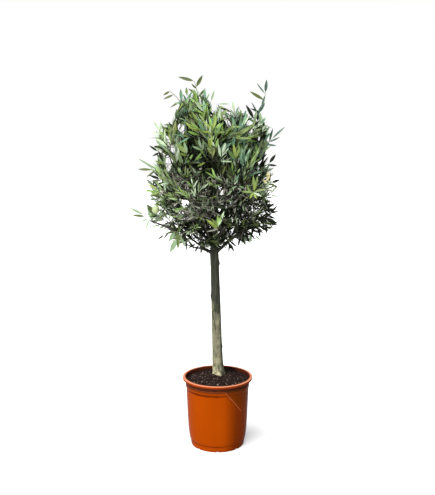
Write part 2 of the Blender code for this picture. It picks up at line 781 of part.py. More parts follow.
    def leaf_places(self, twig, bare):
        """Places for pairs of leaves along a twig, from its tip down to its bare part."""
        points = twig.points
        lengths = [0.0]
        for first, second in zip(points, points[1:]):
            lengths.append(lengths[-1] + (second - first).length)
        along = lengths[-1] - TIP_TO_FIRST_PAIR - self.random.uniform(0.0, 0.004)
        turn = self.random.randrange(TWIG_SIDES)
        places = []
        while along > lengths[-1] * bare:
            segment = max(step for step, length in enumerate(lengths[:-1]) if length <= along)
            ahead = (points[segment + 1] - points[segment]).normalized()
            share = (along - lengths[segment]) / (lengths[segment + 1] - lengths[segment])
            root = points[segment].lerp(points[segment + 1], share)
            places.append((root, ahead, twig.flat_side(segment, ahead, turn)))
            places.append((root, ahead, twig.flat_side(segment, ahead, turn + 1)))
            along -= LEAF_SPACING
            turn += 2
        return places

    def dress(self, twigs):
        """Sets a leaf at each twig's tip and then pairs, twig by twig, until the mass is full."""
        for twig in twigs:
            ahead = (twig.points[-1] - twig.points[-2]).normalized()
            root = twig.points[-1] - ahead * TIP_LEAF_SINK
            self.add_leaf(root, ahead, self.outward(root), LEAF_LENGTH)
        queues = [self.leaf_places(twig, LEAFLESS_SHARE) for twig in twigs]
        while any(queues):
            for queue in queues:
                for place in queue[:2]:
                    if len(self.leaves) < LEAVES_IN_MASS:
                        self.try_leaf(*place)
                del queue[:2]

    def grow_shoot(self, end, tips):
        """A shoot that stands out of the crown. Its leaves reach the given tips."""
        points = self.grow_twig(end)
        if points is not None:
            self.shoots.append((points, tips))

    def tip_shoots(self):
        """Sets the leaves that reach the furthest tips."""
        for points, tips in self.shoots:
            ahead = (points[-1] - points[-2]).normalized()
            for step, tip in enumerate(tips):
                root = points[-1] - ahead * (TIP_LEAF_SINK + TIP_TO_FIRST_PAIR * step)
                reach = tip - root
                facing = reach.cross(Vector((0.2, 1.0, 0.1)).cross(reach))
                self.add_leaf(root, reach.normalized(), facing, reach.length, bounded=False)

    def grow_fruit(self, place, radius):
        """One round fruit on a short stalk from the nearest twig."""
        starts = [twig.points[0].lerp(twig.points[1], STALK_SHARE) for twig in self.twigs[1:]]
        start = min(starts, key=lambda point: (point - place).length)
        stalk = [start, start.lerp(place, 0.5) + UP * 0.002, place]
        self.twigs.append(Twig(stalk, [STALK_RADIUS] * 3))
        self.fruit.append((place, radius))
        ball = Matrix.Translation(place) @ Matrix.Scale(radius * FRUIT_ROOM, 4)
        corners = [ball @ corner for corner in map(Vector, OCTAHEDRON)]
        self.surfaces.append(leaf_surface(corners, 0.0))


def keep_outer_shell(mesh):
    """Fills sealed hollows and drops loose scraps: only the largest closed shell stays."""
    shape = bmesh.new()
    shape.from_mesh(mesh)
    bmesh.ops.dissolve_degenerate(shape, dist=WELD / 10, edges=shape.edges)
    unseen = set(shape.faces)
    shells = []
    while unseen:
        stack = [unseen.pop()]
        shell = list(stack)
        while stack:
            for edge in stack.pop().edges:
                for face in edge.link_faces:
                    if face in unseen:
                        unseen.remove(face)
                        stack.append(face)
                        shell.append(face)
        shells.append(shell)

    def size(shell):
        total = 0.0
        for face in shell:
            corners = [loop.vert.co for loop in face.loops]
            for second, third in zip(corners[1:], corners[2:]):
                total += corners[0].dot(second.cross(third))
        return total

    largest = max(shells, key=size)
    extra = [face for shell in shells if shell is not largest for face in shell]
    bmesh.ops.delete(shape, geom=extra, context='FACES')
    closed = all(len(edge.link_faces) == 2 for edge in shape.edges)
    shape.to_mesh(mesh)
    shape.free()
    return closed


def fuse(stem, pieces):
    """One union of the stem with everything in the collection, applied."""
    for solver in ('EXACT', 'MANIFOLD'):
        union = stem.modifiers.new("union", 'BOOLEAN')
        union.operation = 'UNION'
        union.operand_type = 'COLLECTION'
        union.collection = pieces
        union.solver = solver
        mesh = evaluated_mesh(stem)
        stem.modifiers.remove(union)
        closed = keep_outer_shell(mesh)
        if closed and len(mesh.polygons) > 100:
            break
    stem.data = mesh
    for item in list(pieces.objects):
        remove_object(item)


def sweep_twigs(mass, pieces, outline):
    """Makes the mass's stem and twigs solid, so that leaves can be set on their flat sides."""
    curves = [limb_curve(f"twig_{step}", twig.points, twig.radii, outline, pieces)
              for step, twig in enumerate(mass.twigs)]
    for twig, solid in zip(mass.twigs, limb_meshes(curves, pieces)):
        twig.solid = solid
        mass.surfaces.append(mesh_surface(solid.data))


def make_mass(mass, number, parts, outline, blank, material):
    pieces = new_collection(f"mass_pieces_{number:02d}")
    sweep_twigs(mass, pieces, outline)
    mass.tip_shoots()
    mass.dress([twig for twig in mass.twigs if twig.radii[0] > STALK_RADIUS])
    stem = mass.twigs[0].solid
    pieces.objects.unlink(stem)
    parts.objects.link(stem)
    stem.name = f"foliage_{number:02d}"
    stem.data.name = stem.name
    for step, matrix in enumerate(mass.leaves):
        leaf = mesh_object(f"leaf_{step}", blank, pieces)
        leaf.matrix_world = matrix
    for place, radius in mass.fruit:
        mesh = bpy.data.meshes.new("fruit")
        shape = bmesh.new()
        bmesh.ops.create_uvsphere(shape, u_segments=8, v_segments=5, radius=radius)
        shape.to_mesh(mesh)
        shape.free()
        fruit = mesh_object("fruit", mesh, pieces)
        fruit.location = place
    fuse(stem, pieces)
    bpy.data.collections.remove(pieces)
    stem.data.materials.clear()
    stem.data.materials.append(material)


def make_foliage(parts, outline, lines, starts, seeds):
    obstacles = limb_obstacles(lines, starts)
    masses = [Mass(index, lines, starts, seeds, obstacles) for index in range(MASS_COUNT)]
    for mass in masses:
        mass.grow_stem()
    for end, tips in SHOOTS:
        place = Vector(end)
        owner = min(masses, key=lambda mass: (mass.seed - place).length)
        owner.grow_shoot(place, [Vector(tip) for tip in tips])
    for mass in masses:
        for target in mass.targets(TWIGS_IN_MASS):
            mass.grow_twig(target)
    fruit_place = Vector(FRUIT_PLACE)
    owner = min(masses, key=lambda mass: (mass.seed - fruit_place).length)
    owner.grow_fruit(fruit_place, FRUIT_RADIUS)
    blank = leaf_mesh()
    for number, mass in enumerate(masses, start=1):
        rise = (mass.seed.z - SEED_LOWEST) / (SEED_HIGHEST - SEED_LOWEST)
        colour = [low + (high - low) * rise for low, high in zip(LOW_LEAF_COLOUR, TOP_LEAF_COLOUR)]
        material = principled(f"olive_leaves_{number:02d}", colour, 0.55)
        make_mass(mass, number, parts, outline, blank, material)
    return sum(len(mass.leaves) for mass in masses)


def main():
    clear_scene()
    parts = new_collection(OBJECT_NAME)
    cutters = new_collection("cutters")
    make_pot(parts, cutters)
    make_soil(parts)
    seeds = mass_seeds()
    lines = [limb_line(index, seeds) for index in range(MASS_COUNT)]
    starts = [mass_start(line, space_walls(seeds, index)) for index, line in enumerate(lines)]
    bough_outline = section(BOUGH_SIDES, cutters)
    twig_outline = section(TWIG_SIDES, cutters)
    make_boughs(parts, cutters, bough_outline, lines, starts)
    leaves = make_foliage(parts, twig_outline, lines, starts, seeds)
    remove_object(bough_outline)
    remove_object(twig_outline)
    print(f"{MASS_COUNT} masses, {leaves} leaves")


main()
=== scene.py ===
import math
import random

import bmesh
import bpy
import numpy as np
from mathutils import Matrix, Vector, noise


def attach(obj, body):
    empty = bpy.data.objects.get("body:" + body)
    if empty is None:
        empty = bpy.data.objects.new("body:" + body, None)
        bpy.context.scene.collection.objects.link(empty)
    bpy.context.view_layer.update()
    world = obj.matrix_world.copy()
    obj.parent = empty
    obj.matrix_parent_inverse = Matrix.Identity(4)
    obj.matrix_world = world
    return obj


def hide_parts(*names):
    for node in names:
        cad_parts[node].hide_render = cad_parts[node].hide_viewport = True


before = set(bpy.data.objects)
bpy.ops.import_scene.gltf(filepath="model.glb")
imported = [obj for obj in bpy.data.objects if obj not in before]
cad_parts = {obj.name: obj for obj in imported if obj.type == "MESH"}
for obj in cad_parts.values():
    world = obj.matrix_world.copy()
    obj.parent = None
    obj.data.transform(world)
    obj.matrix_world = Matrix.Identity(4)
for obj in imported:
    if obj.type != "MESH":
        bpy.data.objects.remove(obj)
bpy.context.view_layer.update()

up = Vector((0.0, 0.0, 1.0))
viewerEye = Vector((0.0, -2.5, 1.086))    # where the photo was taken from


def smoothStep(low, high, value):
    share = min(1.0, max(0.0, (value - low) / (high - low)))
    return share * share * (3.0 - 2.0 * share)


def bendPoint(line, share):
    # a place on the curve from the first point to the third that leans to the second
    start, pull, end = line
    return start * (1 - share) ** 2 + pull * (2 * share * (1 - share)) + end * share ** 2


def bendLine(line, count, stop=1.0):
    return [bendPoint(line, stop * step / (count - 1)) for step in range(count)]


def taper(first, last, count):
    return [first + (last - first) * step / (count - 1) for step in range(count)]


def jitter(dice, reach):
    return Vector([dice.uniform(-reach, reach) for axis in range(3)])


def turnedSide(ahead, turn):
    return Matrix.Rotation(turn, 3, ahead) @ ahead.orthogonal().normalized()


def addObject(name, mesh):
    piece = bpy.data.objects.new(name, mesh)
    bpy.context.scene.collection.objects.link(piece)
    return piece


def meshFromArrays(name, points, faceSets, finishes=(0, 0, 0), sharpDegrees=None):
    # each face set holds faces of one size, and has its material index in finishes
    mesh = bpy.data.meshes.new(name)
    points = np.asarray(points, dtype=np.float32)
    sizes = np.concatenate([np.full(len(faces), faces.shape[1]) for faces in faceSets])
    finish = np.concatenate([np.full(len(faces), index) for faces, index in zip(faceSets, finishes)])
    corners = np.concatenate([faces.ravel() for faces in faceSets]).astype(np.int32)
    starts = np.concatenate([[0], np.cumsum(sizes)[:-1]]).astype(np.int32)
    mesh.vertices.add(len(points))
    mesh.vertices.foreach_set("co", points.ravel())
    mesh.loops.add(len(corners))
    mesh.loops.foreach_set("vertex_index", corners)
    mesh.polygons.add(len(sizes))
    mesh.polygons.foreach_set("loop_start", starts)
    mesh.polygons.foreach_set("material_index", finish.astype(np.int32))
    mesh.update(calc_edges=True)
    mesh.shade_smooth()
    if sharpDegrees:
        mesh.set_sharp_from_angle(angle=math.radians(sharpDegrees))
    return mesh


def meshFromShape(name, shape):
    mesh = bpy.data.meshes.new(name)
    shape.to_mesh(mesh)
    shape.free()
    return mesh


def tubeFaces(rings, sides):
    # the wall and both end fans of a closed tube whose two end points follow its rings
    around = np.arange(sides)
    onward = (around + 1) % sides
    bands = np.arange(rings - 1)[:, None] * sides
    wall = np.stack([bands + around, bands + onward, bands + sides + onward, bands + sides + around], axis=-1)
    count, last = rings * sides, (rings - 1) * sides
    firstFan = np.stack([np.full(sides, count), onward, around], axis=-1)
    lastFan = np.stack([np.full(sides, count + 1), last + around, last + onward], axis=-1)
    return wall.reshape(-1, 4), firstFan, lastFan


def finishPiece(piece, finishes, replaced=()):
    for finish in finishes:
        piece.data.materials.append(finish)
    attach(piece, "root")
    if replaced:
        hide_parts(*replaced)


# node helpers: a Value is an output socket, and a Value given as an input is linked to it

def addNode(tree, kind, inputs=(), **settings):
    node = tree.nodes.new("ShaderNode" + kind)
    for name, setting in settings.items():
        setattr(node, name, setting)
    for key, value in (inputs if isinstance(inputs, dict) else dict(enumerate(inputs))).items():
        if isinstance(value, Value):
            tree.links.new(value.socket, node.inputs[key])
        else:
            node.inputs[key].default_value = value
    return node


class Value:
    def __init__(self, socket):
        self.socket = socket
        self.tree = socket.id_data

    def math(self, operation, *others, kind="Math"):
        return Value(addNode(self.tree, kind, (self, *others), operation=operation).outputs["Value"])

    def __mul__(self, other):
        return self.math("MULTIPLY", other)

    def range(self, low, high, toLow=0.0, toHigh=1.0):
        return Value(addNode(self.tree, "MapRange", (self, low, high, toLow, toHigh)).outputs[0])

    def band(self, low, high, edge):
        # 1 between low and high, falling to 0 over the edge's width
        return self.range(low - edge, low) * self.range(high, high + edge, 1.0, 0.0)

    def stops(self, places, colours):
        ramp = addNode(self.tree, "ValToRGB", (self,))
        while len(ramp.color_ramp.elements) < len(places):
            ramp.color_ramp.elements.new(1.0)
        for element, place, colour in zip(ramp.color_ramp.elements, places, colours):
            element.position = place
            element.color = (*colour, 1.0)
        return Value(ramp.outputs["Color"])

    def covered(self, cover, colour):
        # this colour with another laid over it
        colour = (*colour, 1.0) if isinstance(colour, tuple) else colour
        return Value(addNode(self.tree, "Mix", {0: cover, 6: self, 7: colour}, data_type="RGBA").outputs[2])


def splitPlace(coords):
    return [Value(part) for part in addNode(coords.tree, "SeparateXYZ", (coords,)).outputs]


def placeIn(material, squash=1.0):
    # the object's own coordinates, with the upright one multiplied
    tree = material.node_tree
    coords = Value(addNode(tree, "TexCoord").outputs["Object"])
    return Value(addNode(tree, "Mapping", {"Vector": coords, "Scale": (1.0, 1.0, squash)}).outputs["Vector"])


def noiseIn(material, scale, detail=4.0, roughness=0.6, squash=1.0):
    inputs = {"Vector": placeIn(material, squash), "Scale": scale, "Detail": detail, "Roughness": roughness}
    return Value(addNode(material.node_tree, "TexNoise", inputs).outputs["Fac"])


def shaderInputs(material):
    return material.node_tree.nodes["Principled BSDF"].inputs


def newMaterial(name, roughness, specular):
    material = bpy.data.materials.new(name)
    material.use_nodes = True
    shaderInputs(material)["Roughness"].default_value = roughness
    shaderInputs(material)["Specular IOR Level"].default_value = specular
    return material


def dressMaterial(material, colour, height, strength, distance):
    # the colour, and small relief from the height value
    tree, inputs = material.node_tree, shaderInputs(material)
    bump = addNode(tree, "Bump", {"Height": height, "Strength": strength, "Distance": distance})
    tree.links.new(colour.socket, inputs["Base Color"])
    tree.links.new(bump.outputs["Normal"], inputs["Normal"])
    return material


# the pot: a turned shell with every edge rounded

pot = {
    "sides": 180,
    # radius, height and rounding, from the lip's inner edge down the outside to the underside
    "outside": (
        (0.1136, 0.25, 0.0014), (0.125, 0.25, 0.0016), (0.125, 0.2418, 0.001),
        (0.1126, 0.2418, 0.001), (0.1126, 0.229, 0.0006), (0.1146, 0.2283, 0.0006),
        (0.1143, 0.2155, 0.0007), (0.1118, 0.2105, 0.0008), (0.1121, 0.2055, 0.0008),
        (0.1078, 0.1, 0.0), (0.105, 0.056, 0.0), (0.1016, 0.03, 0.004),
        (0.0992, 0.0225, 0.0006), (0.0962, 0.019, 0.0006), (0.0975, 0.016, 0.0005),
        (0.095, 0.0, 0.0008), (0.0885, 0.0, 0.0005), (0.0885, 0.005, 0.0005),
        (0.05, 0.005, 0.0005), (0.045, 0.0, 0.0005), (0.0, 0.0, 0.0),
    ),
    "inside": (
        (0.0, 0.008, 0.0), (0.0928, 0.008, 0.001), (0.0994, 0.03, 0.003),
        (0.1056, 0.1, 0.0), (0.1099, 0.2055, 0.0), (0.1104, 0.229, 0.001),
        (0.1136, 0.248, 0.0),
    ),
    "roundingSteps": 3,
    "drains": 8,
    "firstDrain": math.radians(-45.0),
    "drainRadius": 0.093,
    "drainDepth": 0.021,
    "drainWidth": 0.012,
    "drainHeight": 0.0045,
    "sharpDegrees": 38,
    "colour": (0.164, 0.023, 0.0001),
    "paleColour": (0.18, 0.027, 0.0001),
    # a painted highlight along the top of the lip
    "lipHighlight": (0.38, 0.145, 0.08),
    # painted shade in the grooves
    "grooveShadeColour": (0.05, 0.006, 0.0004),
    "rimShadeColour": (0.115, 0.015, 0.002),
    "rimShadeHeights": (0.2416, 0.2474, 0.0008),    # heights under the lip painted darker as shade, and the edge's width
    # painted shade along the far left side
    "leftEdgeShade": (0.072, 0.01, 0.0006),
    # heights of each groove painted with shade, and how dark it is
    "grooves": ((0.2358, 0.243, 0.94), (0.207, 0.214, 0.94), (0.0172, 0.0212, 0.7)),
    "innerWallDark": (0.02, 0.008, 0.005),
    # the trunk's painted shadow on the soil and the inner wall
    "trunkShadowColour": (0.003, 0.002, 0.0018),
    "trunkShadowPlace": ((0.028, 0.06, 0.022), (0.045, 0.072)),    # x from, to and its edge's width, y from and to
    # angles between which the plastic is painted browner as shade, and the width over which that fades
    "shadedSide": (math.radians(-52.0), math.radians(30.0), math.radians(26.0)),
    # painted shade on the right side of the pot
    "sideShadeColour": (0.066, 0.0096, 0.0004),
    "edgeFrom": (math.radians(154.0), math.radians(174.0)),    # the far left side is painted darker between them, as shade
    # a crease pressed into the wall: first and last angle and height
    "crease": ((math.radians(-78.6), 0.229), (math.radians(-41.1), 0.1446)),
    "creaseRadius": 0.11,
    "creaseBand": (-0.0012, 0.0008, 0.0014),    # from and to, off its line, and the edge's width
    # a painted highlight along the crease
    "creaseHighlight": (0.185, 0.046, 0.014),
    "shadeBand": (-0.006, -0.0022, 0.003),
    "creaseShade": (0.085, 0.013, 0.0004),
    "shadowPastCrease": (0.07, 0.0125, 0.0004),    # painted shadow: browner wall above and right of the crease
}


def roundedLine(corners, steps):
    # softens each corner of a profile with a short curve
    line = []
    for index, (radius, height, rounding) in enumerate(corners):
        here = Vector((radius, height))
        if rounding == 0.0 or index in (0, len(corners) - 1):
            line.append(here)
            continue
        before = Vector(corners[index - 1][:2]) - here
        after = Vector(corners[index + 1][:2]) - here
        first = here + before.normalized() * min(rounding, before.length * 0.45)
        last = here + after.normalized() * min(rounding, after.length * 0.45)
        line += bendLine((first, here, last), steps + 1)
    return line


def turnedMesh(name, line, sides, sharpDegrees=None):
    # turns a line of (radius, height) round the axis, on which both its ends lie
    angles = np.arange(sides) * math.tau / sides
    radii, heights = np.array([tuple(point) for point in line[1:-1]]).T
    points = np.empty((len(radii), sides, 3))
    points[:, :, 0] = radii[:, None] * np.cos(angles)
    points[:, :, 1] = radii[:, None] * np.sin(angles)
    points[:, :, 2] = heights[:, None]
    ends = [[0.0, 0.0, line[0][1]], [0.0, 0.0, line[-1][1]]]
    return meshFromArrays(name, np.vstack([points.reshape(-1, 3), ends]), tubeFaces(len(radii), sides),
                          sharpDegrees=sharpDegrees)


def faceOutward(mesh):
    shape = bmesh.new()
    shape.from_mesh(mesh)
    bmesh.ops.recalc_face_normals(shape, faces=shape.faces)
    shape.to_mesh(mesh)
    shape.free()


def trunkShadowPlace(x, y):
    # a painted shadow of the trunk on soil and wall at the back, right of the trunk
    across, back = pot["trunkShadowPlace"]
    return x.band(*across) * y.range(*back)


def creaseLine(angle, height):
    # distance off the crease's line, and 1 between its ends, on the unrolled wall
    (startAngle, startHeight), (endAngle, endHeight) = pot["crease"]
    across, drop = (endAngle - startAngle) * pot["creaseRadius"], endHeight - startHeight
    length = math.hypot(across, drop)
    around = angle.range(startAngle, 2 * endAngle - startAngle, 0.0, 2 * across)
    rise = height.math("SUBTRACT", startHeight)
    onWall = Value(addNode(angle.tree, "CombineXYZ", (around, rise)).outputs[0])
    off, along = (onWall.math("DOT_PRODUCT", (x / length, y / length, 0.0), kind="VectorMath")
                  for x, y in ((-drop, across), (across, drop)))
    return off, along.band(0.004, length - 0.004, 0.006)


def potMaterial():
    material = newMaterial("terracottaPlastic", 0.25, 0.006)
    x, y, height = splitPlace(placeIn(material))
    radius = Value(addNode(x.tree, "CombineXYZ", (x, y)).outputs[0]).math("LENGTH", kind="VectorMath")
    angle = y.math("ARCTAN2", x)
    off, along = creaseLine(angle, height)
    crease = off.band(*pot["creaseBand"]) * along
    # painted shadow on the wall above and right of the crease
    past = off.range(0.0, 0.004) * height.range(0.13, 0.18)
    past = past * x.range(0.01, 0.024) * y.range(-0.004, -0.04)
    patchiness = noiseIn(material, 26.0)
    # painted shade in the grooves: patchy, and fading out towards the right
    shadeInGrooves = patchiness.range(0.3, 0.6, 0.65, 1.0) * x.range(0.0, 0.045, 1.0, 0.12)
    inner = radius.range(0.1136, 0.116, 1.0, 0.0) * height.range(0.221, 0.223)
    covers = [    # each colour laid over those before it, and how strongly
        # painted shade over the right side
        ("sideShadeColour", angle.band(*pot["shadedSide"]) * 0.8),
        # painted shade on the far left side
        ("leftEdgeShade", angle.math("ABSOLUTE").range(*pot["edgeFrom"], 0.0, 0.6)),
        # painted shadow above and right of the crease
        ("shadowPastCrease", past * 0.85),
        ("creaseShade", off.band(*pot["shadeBand"]) * along * 0.55),
        # painted highlight along the crease
        ("creaseHighlight", crease * 0.72),
        # painted shade in each groove
        *(("grooveShadeColour", height.band(low, high, 0.0008) * shadeInGrooves * strength)
          for low, high, strength in pot["grooves"]),
        # painted shade on the lip's outer face and its underside
        ("rimShadeColour", height.band(*pot["rimShadeHeights"]) * radius.range(0.116, 0.118) * 0.8),
        # painted highlight on the lip's top
        ("lipHighlight", height.range(0.2484, 0.2497) * radius.range(0.1162, 0.1182)),
        # the inner wall above the soil made darker, patchily
        ("innerWallDark", inner * patchiness.range(0.3, 0.7, 1.0, 0.7)),
        # the trunk's painted shadow on the inner wall
        ("trunkShadowColour", inner * trunkShadowPlace(x, y) * 0.95),
    ]
    colour = noiseIn(material, 14.0, squash=0.25).stops((0.42, 0.72), (pot["colour"], pot["paleColour"]))
    for name, cover in covers:
        colour = colour.covered(cover, pot[name])
    scuffs = noiseIn(material, 30.0, squash=0.4).range(0.35, 0.75, 0.16, 0.34)
    material.node_tree.links.new(scuffs.socket, shaderInputs(material)["Roughness"])
    return dressMaterial(material, colour, crease, 0.6, 0.0006)


def drainShapes():
    shape = bmesh.new()
    for index in range(pot["drains"]):    # arched notches through the standing ring
        angle = pot["firstDrain"] + math.tau * index / pot["drains"]
        turn = Matrix.Rotation(angle, 4, "Z") @ Matrix.Translation((pot["drainRadius"], 0.0, 0.0))
        lay = Matrix.Rotation(math.radians(90.0), 4, "Y")
        squeeze = Matrix.Diagonal((pot["drainHeight"], pot["drainWidth"] / 2, 1.0, 1.0))
        bmesh.ops.create_cone(shape, cap_ends=True, segments=24, radius1=1.0, radius2=1.0,
                              depth=pot["drainDepth"], matrix=turn @ lay @ squeeze)
    return addObject("drain_shapes", meshFromShape("drain_shapes", shape))


def makePot():
    line = roundedLine(pot["inside"] + pot["outside"], pot["roundingSteps"])
    shell = addObject("pot_shell", turnedMesh("pot_shell", line, pot["sides"], pot["sharpDegrees"]))
    faceOutward(shell.data)
    cutter = drainShapes()
    cut = shell.modifiers.new("drains", "BOOLEAN")
    cut.operation = "DIFFERENCE"
    cut.object = cutter
    cut.solver = "EXACT"
    graph = bpy.context.evaluated_depsgraph_get()
    shell.data = bpy.data.meshes.new_from_object(shell.evaluated_get(graph))
    shell.modifiers.clear()
    bpy.data.objects.remove(cutter, do_unlink=True)
    shell.data.set_sharp_from_angle(angle=math.radians(pot["sharpDegrees"]))
    shell.data.materials.clear()
    finishPiece(shell, [potMaterial()], ["pot"])


makePot()
print("pot done")


# the soil: a low uneven mound with loose chips and pale grains on it

soil = {
    "radius": 0.1102,
    "edgeHeight": 0.2372,
    "moundHeight": 0.2462,
    "moundRadius": 0.07,
    "heap": (-0.022, 0.01, 0.0075, 0.012),    # x, y, height and spread of a heap against the trunk's foot
    "shoulder": 0.034,
    "bottom": 0.205,
    "rings": 64,
    "sides": 200,
    "lumps": ((0.0028, 55.0), (0.002, 130.0), (0.001, 320.0)),    # height and fineness
    "spread": 0.965,    # share of the radius that chips and grains reach
    "chips": (1300, (0.003, 0.01), 0.5),    # count, sizes and flatness
    "grains": (260, (0.002, 0.006), 0.55),
    "dark": (0.005, 0.003, 0.0025),
    "light": (0.034, 0.016, 0.011),
    "chipColours": ((0.008, 0.005, 0.0045), (0.082, 0.038, 0.03)),
    "grainColours": ((0.16, 0.12, 0.09), (0.4, 0.33, 0.26)),
    "seed": 4,
}


def soilHeight(x, y):
    radius = math.hypot(x, y)
    start, shoulder = soil["moundRadius"], soil["shoulder"]
    fall = smoothStep(start - shoulder / 2, start + shoulder, radius)
    height = soil["moundHeight"] + (soil["edgeHeight"] - soil["moundHeight"]) * fall
    heapX, heapY, heapHeight, spread = soil["heap"]
    height += heapHeight * math.exp(-((x - heapX) ** 2 + (y - heapY) ** 2) / spread ** 2)
    for size, fineness in soil["lumps"]:
        height += size * noise.noise(Vector((x * fineness, y * fineness, size * 900)))
    return height


def soilMaterial(name, colours, roughness, fineness):
    material = newMaterial(name, roughness, 0.08)
    colour = noiseIn(material, fineness, 5.0, 0.7).stops((0.52, 0.68), colours)
    x, y, height = splitPlace(placeIn(material))
    # the trunk's painted shadow on the soil
    colour = colour.covered(trunkShadowPlace(x, y) * 0.92, pot["trunkShadowColour"])
    return dressMaterial(material, colour, noiseIn(material, fineness * 3.0, roughness=0.7), 0.8, 0.0012)


def makeSoil():
    line = [Vector((soil["radius"] * (index / soil["rings"]), 0.0)) for index in range(soil["rings"] + 1)]
    line += [Vector((soil["radius"] - 0.0012, soil["bottom"])), Vector((0.0, soil["bottom"]))]
    mesh = turnedMesh("soil_mound", line, soil["sides"])
    for vertex in mesh.vertices:
        if vertex.co.z == 0.0:
            vertex.co.z = soilHeight(vertex.co.x, vertex.co.y)
    faceOutward(mesh)
    finish = soilMaterial("moistPottingMix", (soil["dark"], soil["light"]), 0.92, 150.0)
    finishPiece(addObject("soil_mound", mesh), [finish], ["soil"])


def makeChips(name, count, sizes, flatness, colours, dice):
    # squashed and knocked-about blocks, half sunk in the soil
    shape = bmesh.new()
    for index in range(count):
        angle = dice.uniform(0.0, math.tau)
        radius = soil["radius"] * soil["spread"] * math.sqrt(dice.random())
        x, y = radius * math.cos(angle), radius * math.sin(angle)
        size = dice.uniform(*sizes) * (0.6 + 0.4 * dice.random())
        place = Matrix.Translation((x, y, soilHeight(x, y) + size * 0.12))
        turn = Matrix.Rotation(dice.uniform(0.0, math.tau), 4, "Z")
        turn = turn @ Matrix.Rotation(dice.uniform(-0.7, 0.7), 4, "X")
        broad, thick = size * dice.uniform(0.35, 0.9), size * flatness * dice.uniform(0.6, 1.2)
        squeeze = Matrix.Diagonal((size, broad, thick, 1.0))
        made = bmesh.ops.create_icosphere(shape, subdivisions=1, radius=0.5, matrix=place @ turn @ squeeze)
        for vertex in made["verts"]:
            vertex.co += jitter(dice, 0.16) * size
    finish = soilMaterial(name + "Finish", colours, 0.85, 240.0)
    finishPiece(addObject(name, meshFromShape(name, shape)), [finish])


makeSoil()
soilDice = random.Random(soil["seed"])
makeChips("soil_chips", *soil["chips"], soil["chipColours"], soilDice)
makeChips("pale_grains", *soil["grains"], soil["grainColours"], soilDice)
print("soil done")


# the trunk: the model's own centre line and radii, with bark, knots and root lumps worked on

trunk = {
    "foot": 0.2463,
    "top": 0.8,
    "fork": 0.69,
    "radius": 0.0155,
    "swell": 0.0065,
    "swellHeight": 0.12,
    "tipShare": 0.62,
    "footX": 0.006,
    "leanX": -0.028,
    "leanStart": 0.308,
    "bendHeight": 0.03,
    "footY": 0.034,
    "sunk": 0.0055,    # how far the bark goes on below the soil's top
    "sides": 72,
    "rings": 210,
    "ridges": 0.0011,    # long shallow folds of the wood
    "fissures": 0.00055,
    # angle in degrees (-90 faces the viewer), height, sideways and upright reach, push
    "knots": (
        (-20.0, 0.662, 0.008, 0.01, 0.0042), (-125.0, 0.588, 0.005, 0.006, 0.0016),
        (160.0, 0.54, 0.007, 0.008, 0.003), (60.0, 0.47, 0.007, 0.009, 0.0028),
        (-70.0, 0.505, 0.006, 0.005, -0.0016), (-110.0, 0.452, 0.0055, 0.0045, -0.0013),
        (-40.0, 0.425, 0.006, 0.006, 0.0018), (100.0, 0.62, 0.006, 0.007, 0.0026),
        (-150.0, 0.37, 0.007, 0.008, 0.002), (20.0, 0.35, 0.007, 0.007, 0.0022),
    ),
    # root lumps: angle, height, sideways and upright reach, push
    "rootLumps": (
        (-78.0, 0.2475, 0.0105, 0.011, 0.0078), (-150.0, 0.248, 0.0095, 0.01, 0.0052),
        (-15.0, 0.247, 0.01, 0.01, 0.0034), (55.0, 0.2475, 0.01, 0.011, 0.006),
        (130.0, 0.248, 0.01, 0.011, 0.0055), (-112.0, 0.258, 0.006, 0.006, 0.0026),
        (-45.0, 0.26, 0.006, 0.0065, 0.0022),
    ),
    # the upper and the lower bark: streaks, bark and its palest spots
    "darkBark": ((0.011, 0.0125, 0.0085), (0.015, 0.0168, 0.0105), (0.033, 0.035, 0.023)),
    "paleBark": ((0.064, 0.061, 0.039), (0.104, 0.1, 0.062), (0.208, 0.196, 0.126)),
    "scar": (0.034, 0.03, 0.02),
    "footBark": (0.3, 0.275, 0.165),
    "shadeBark": (0.024, 0.025, 0.016),
    "shadeFrom": (0.0075, 0.015),    # right of the centre line, where the bark turns darker
    # dark slits in the bark facing the viewer: x and height at either end, and half width
    "slits": (
        ((-0.0135, 0.462), (-0.0061, 0.414), 0.0013), ((-0.0055, 0.508), (-0.02, 0.476), 0.0015),
        ((-0.0185, 0.488), (-0.0135, 0.454), 0.0021),
    ),
    "footHeights": (0.258, 0.315),    # the palest bark is below the first, and fades out at the second
    "turnHeight": 0.491,    # grey-green above this, pale beige below
}


def trunkCentre(height):
    bend = math.exp(-(height - trunk["foot"]) / trunk["bendHeight"])
    lean = trunk["leanX"] * (height - trunk["leanStart"])
    rise = min(1.0, (height - trunk["foot"]) / (trunk["fork"] - trunk["foot"]))
    footLean = trunk["leanX"] * (trunk["foot"] - trunk["leanStart"])
    return Vector((lean + (trunk["footX"] - footLean) * bend, trunk["footY"] * (1.0 - rise), height))


def trunkRadius(height):
    swell = trunk["swell"] * math.exp(-(height - trunk["foot"]) / trunk["swellHeight"])
    above = min(1.0, max(0.0, (height - trunk["fork"]) / (trunk["top"] - trunk["fork"])))
    return (trunk["radius"] + swell) * (1.0 - (1.0 - trunk["tipShare"]) * above)


def spotPush(spots, angle, height, radius):
    total = 0.0
    for spotAngle, spotHeight, across, upright, push in spots:
        away = (angle - math.radians(spotAngle) + math.pi) % math.tau - math.pi
        spread = (away * radius / across) ** 2 + ((height - spotHeight) / upright) ** 2
        if spread < 9.0:
            total += push * math.exp(-spread)
    return total


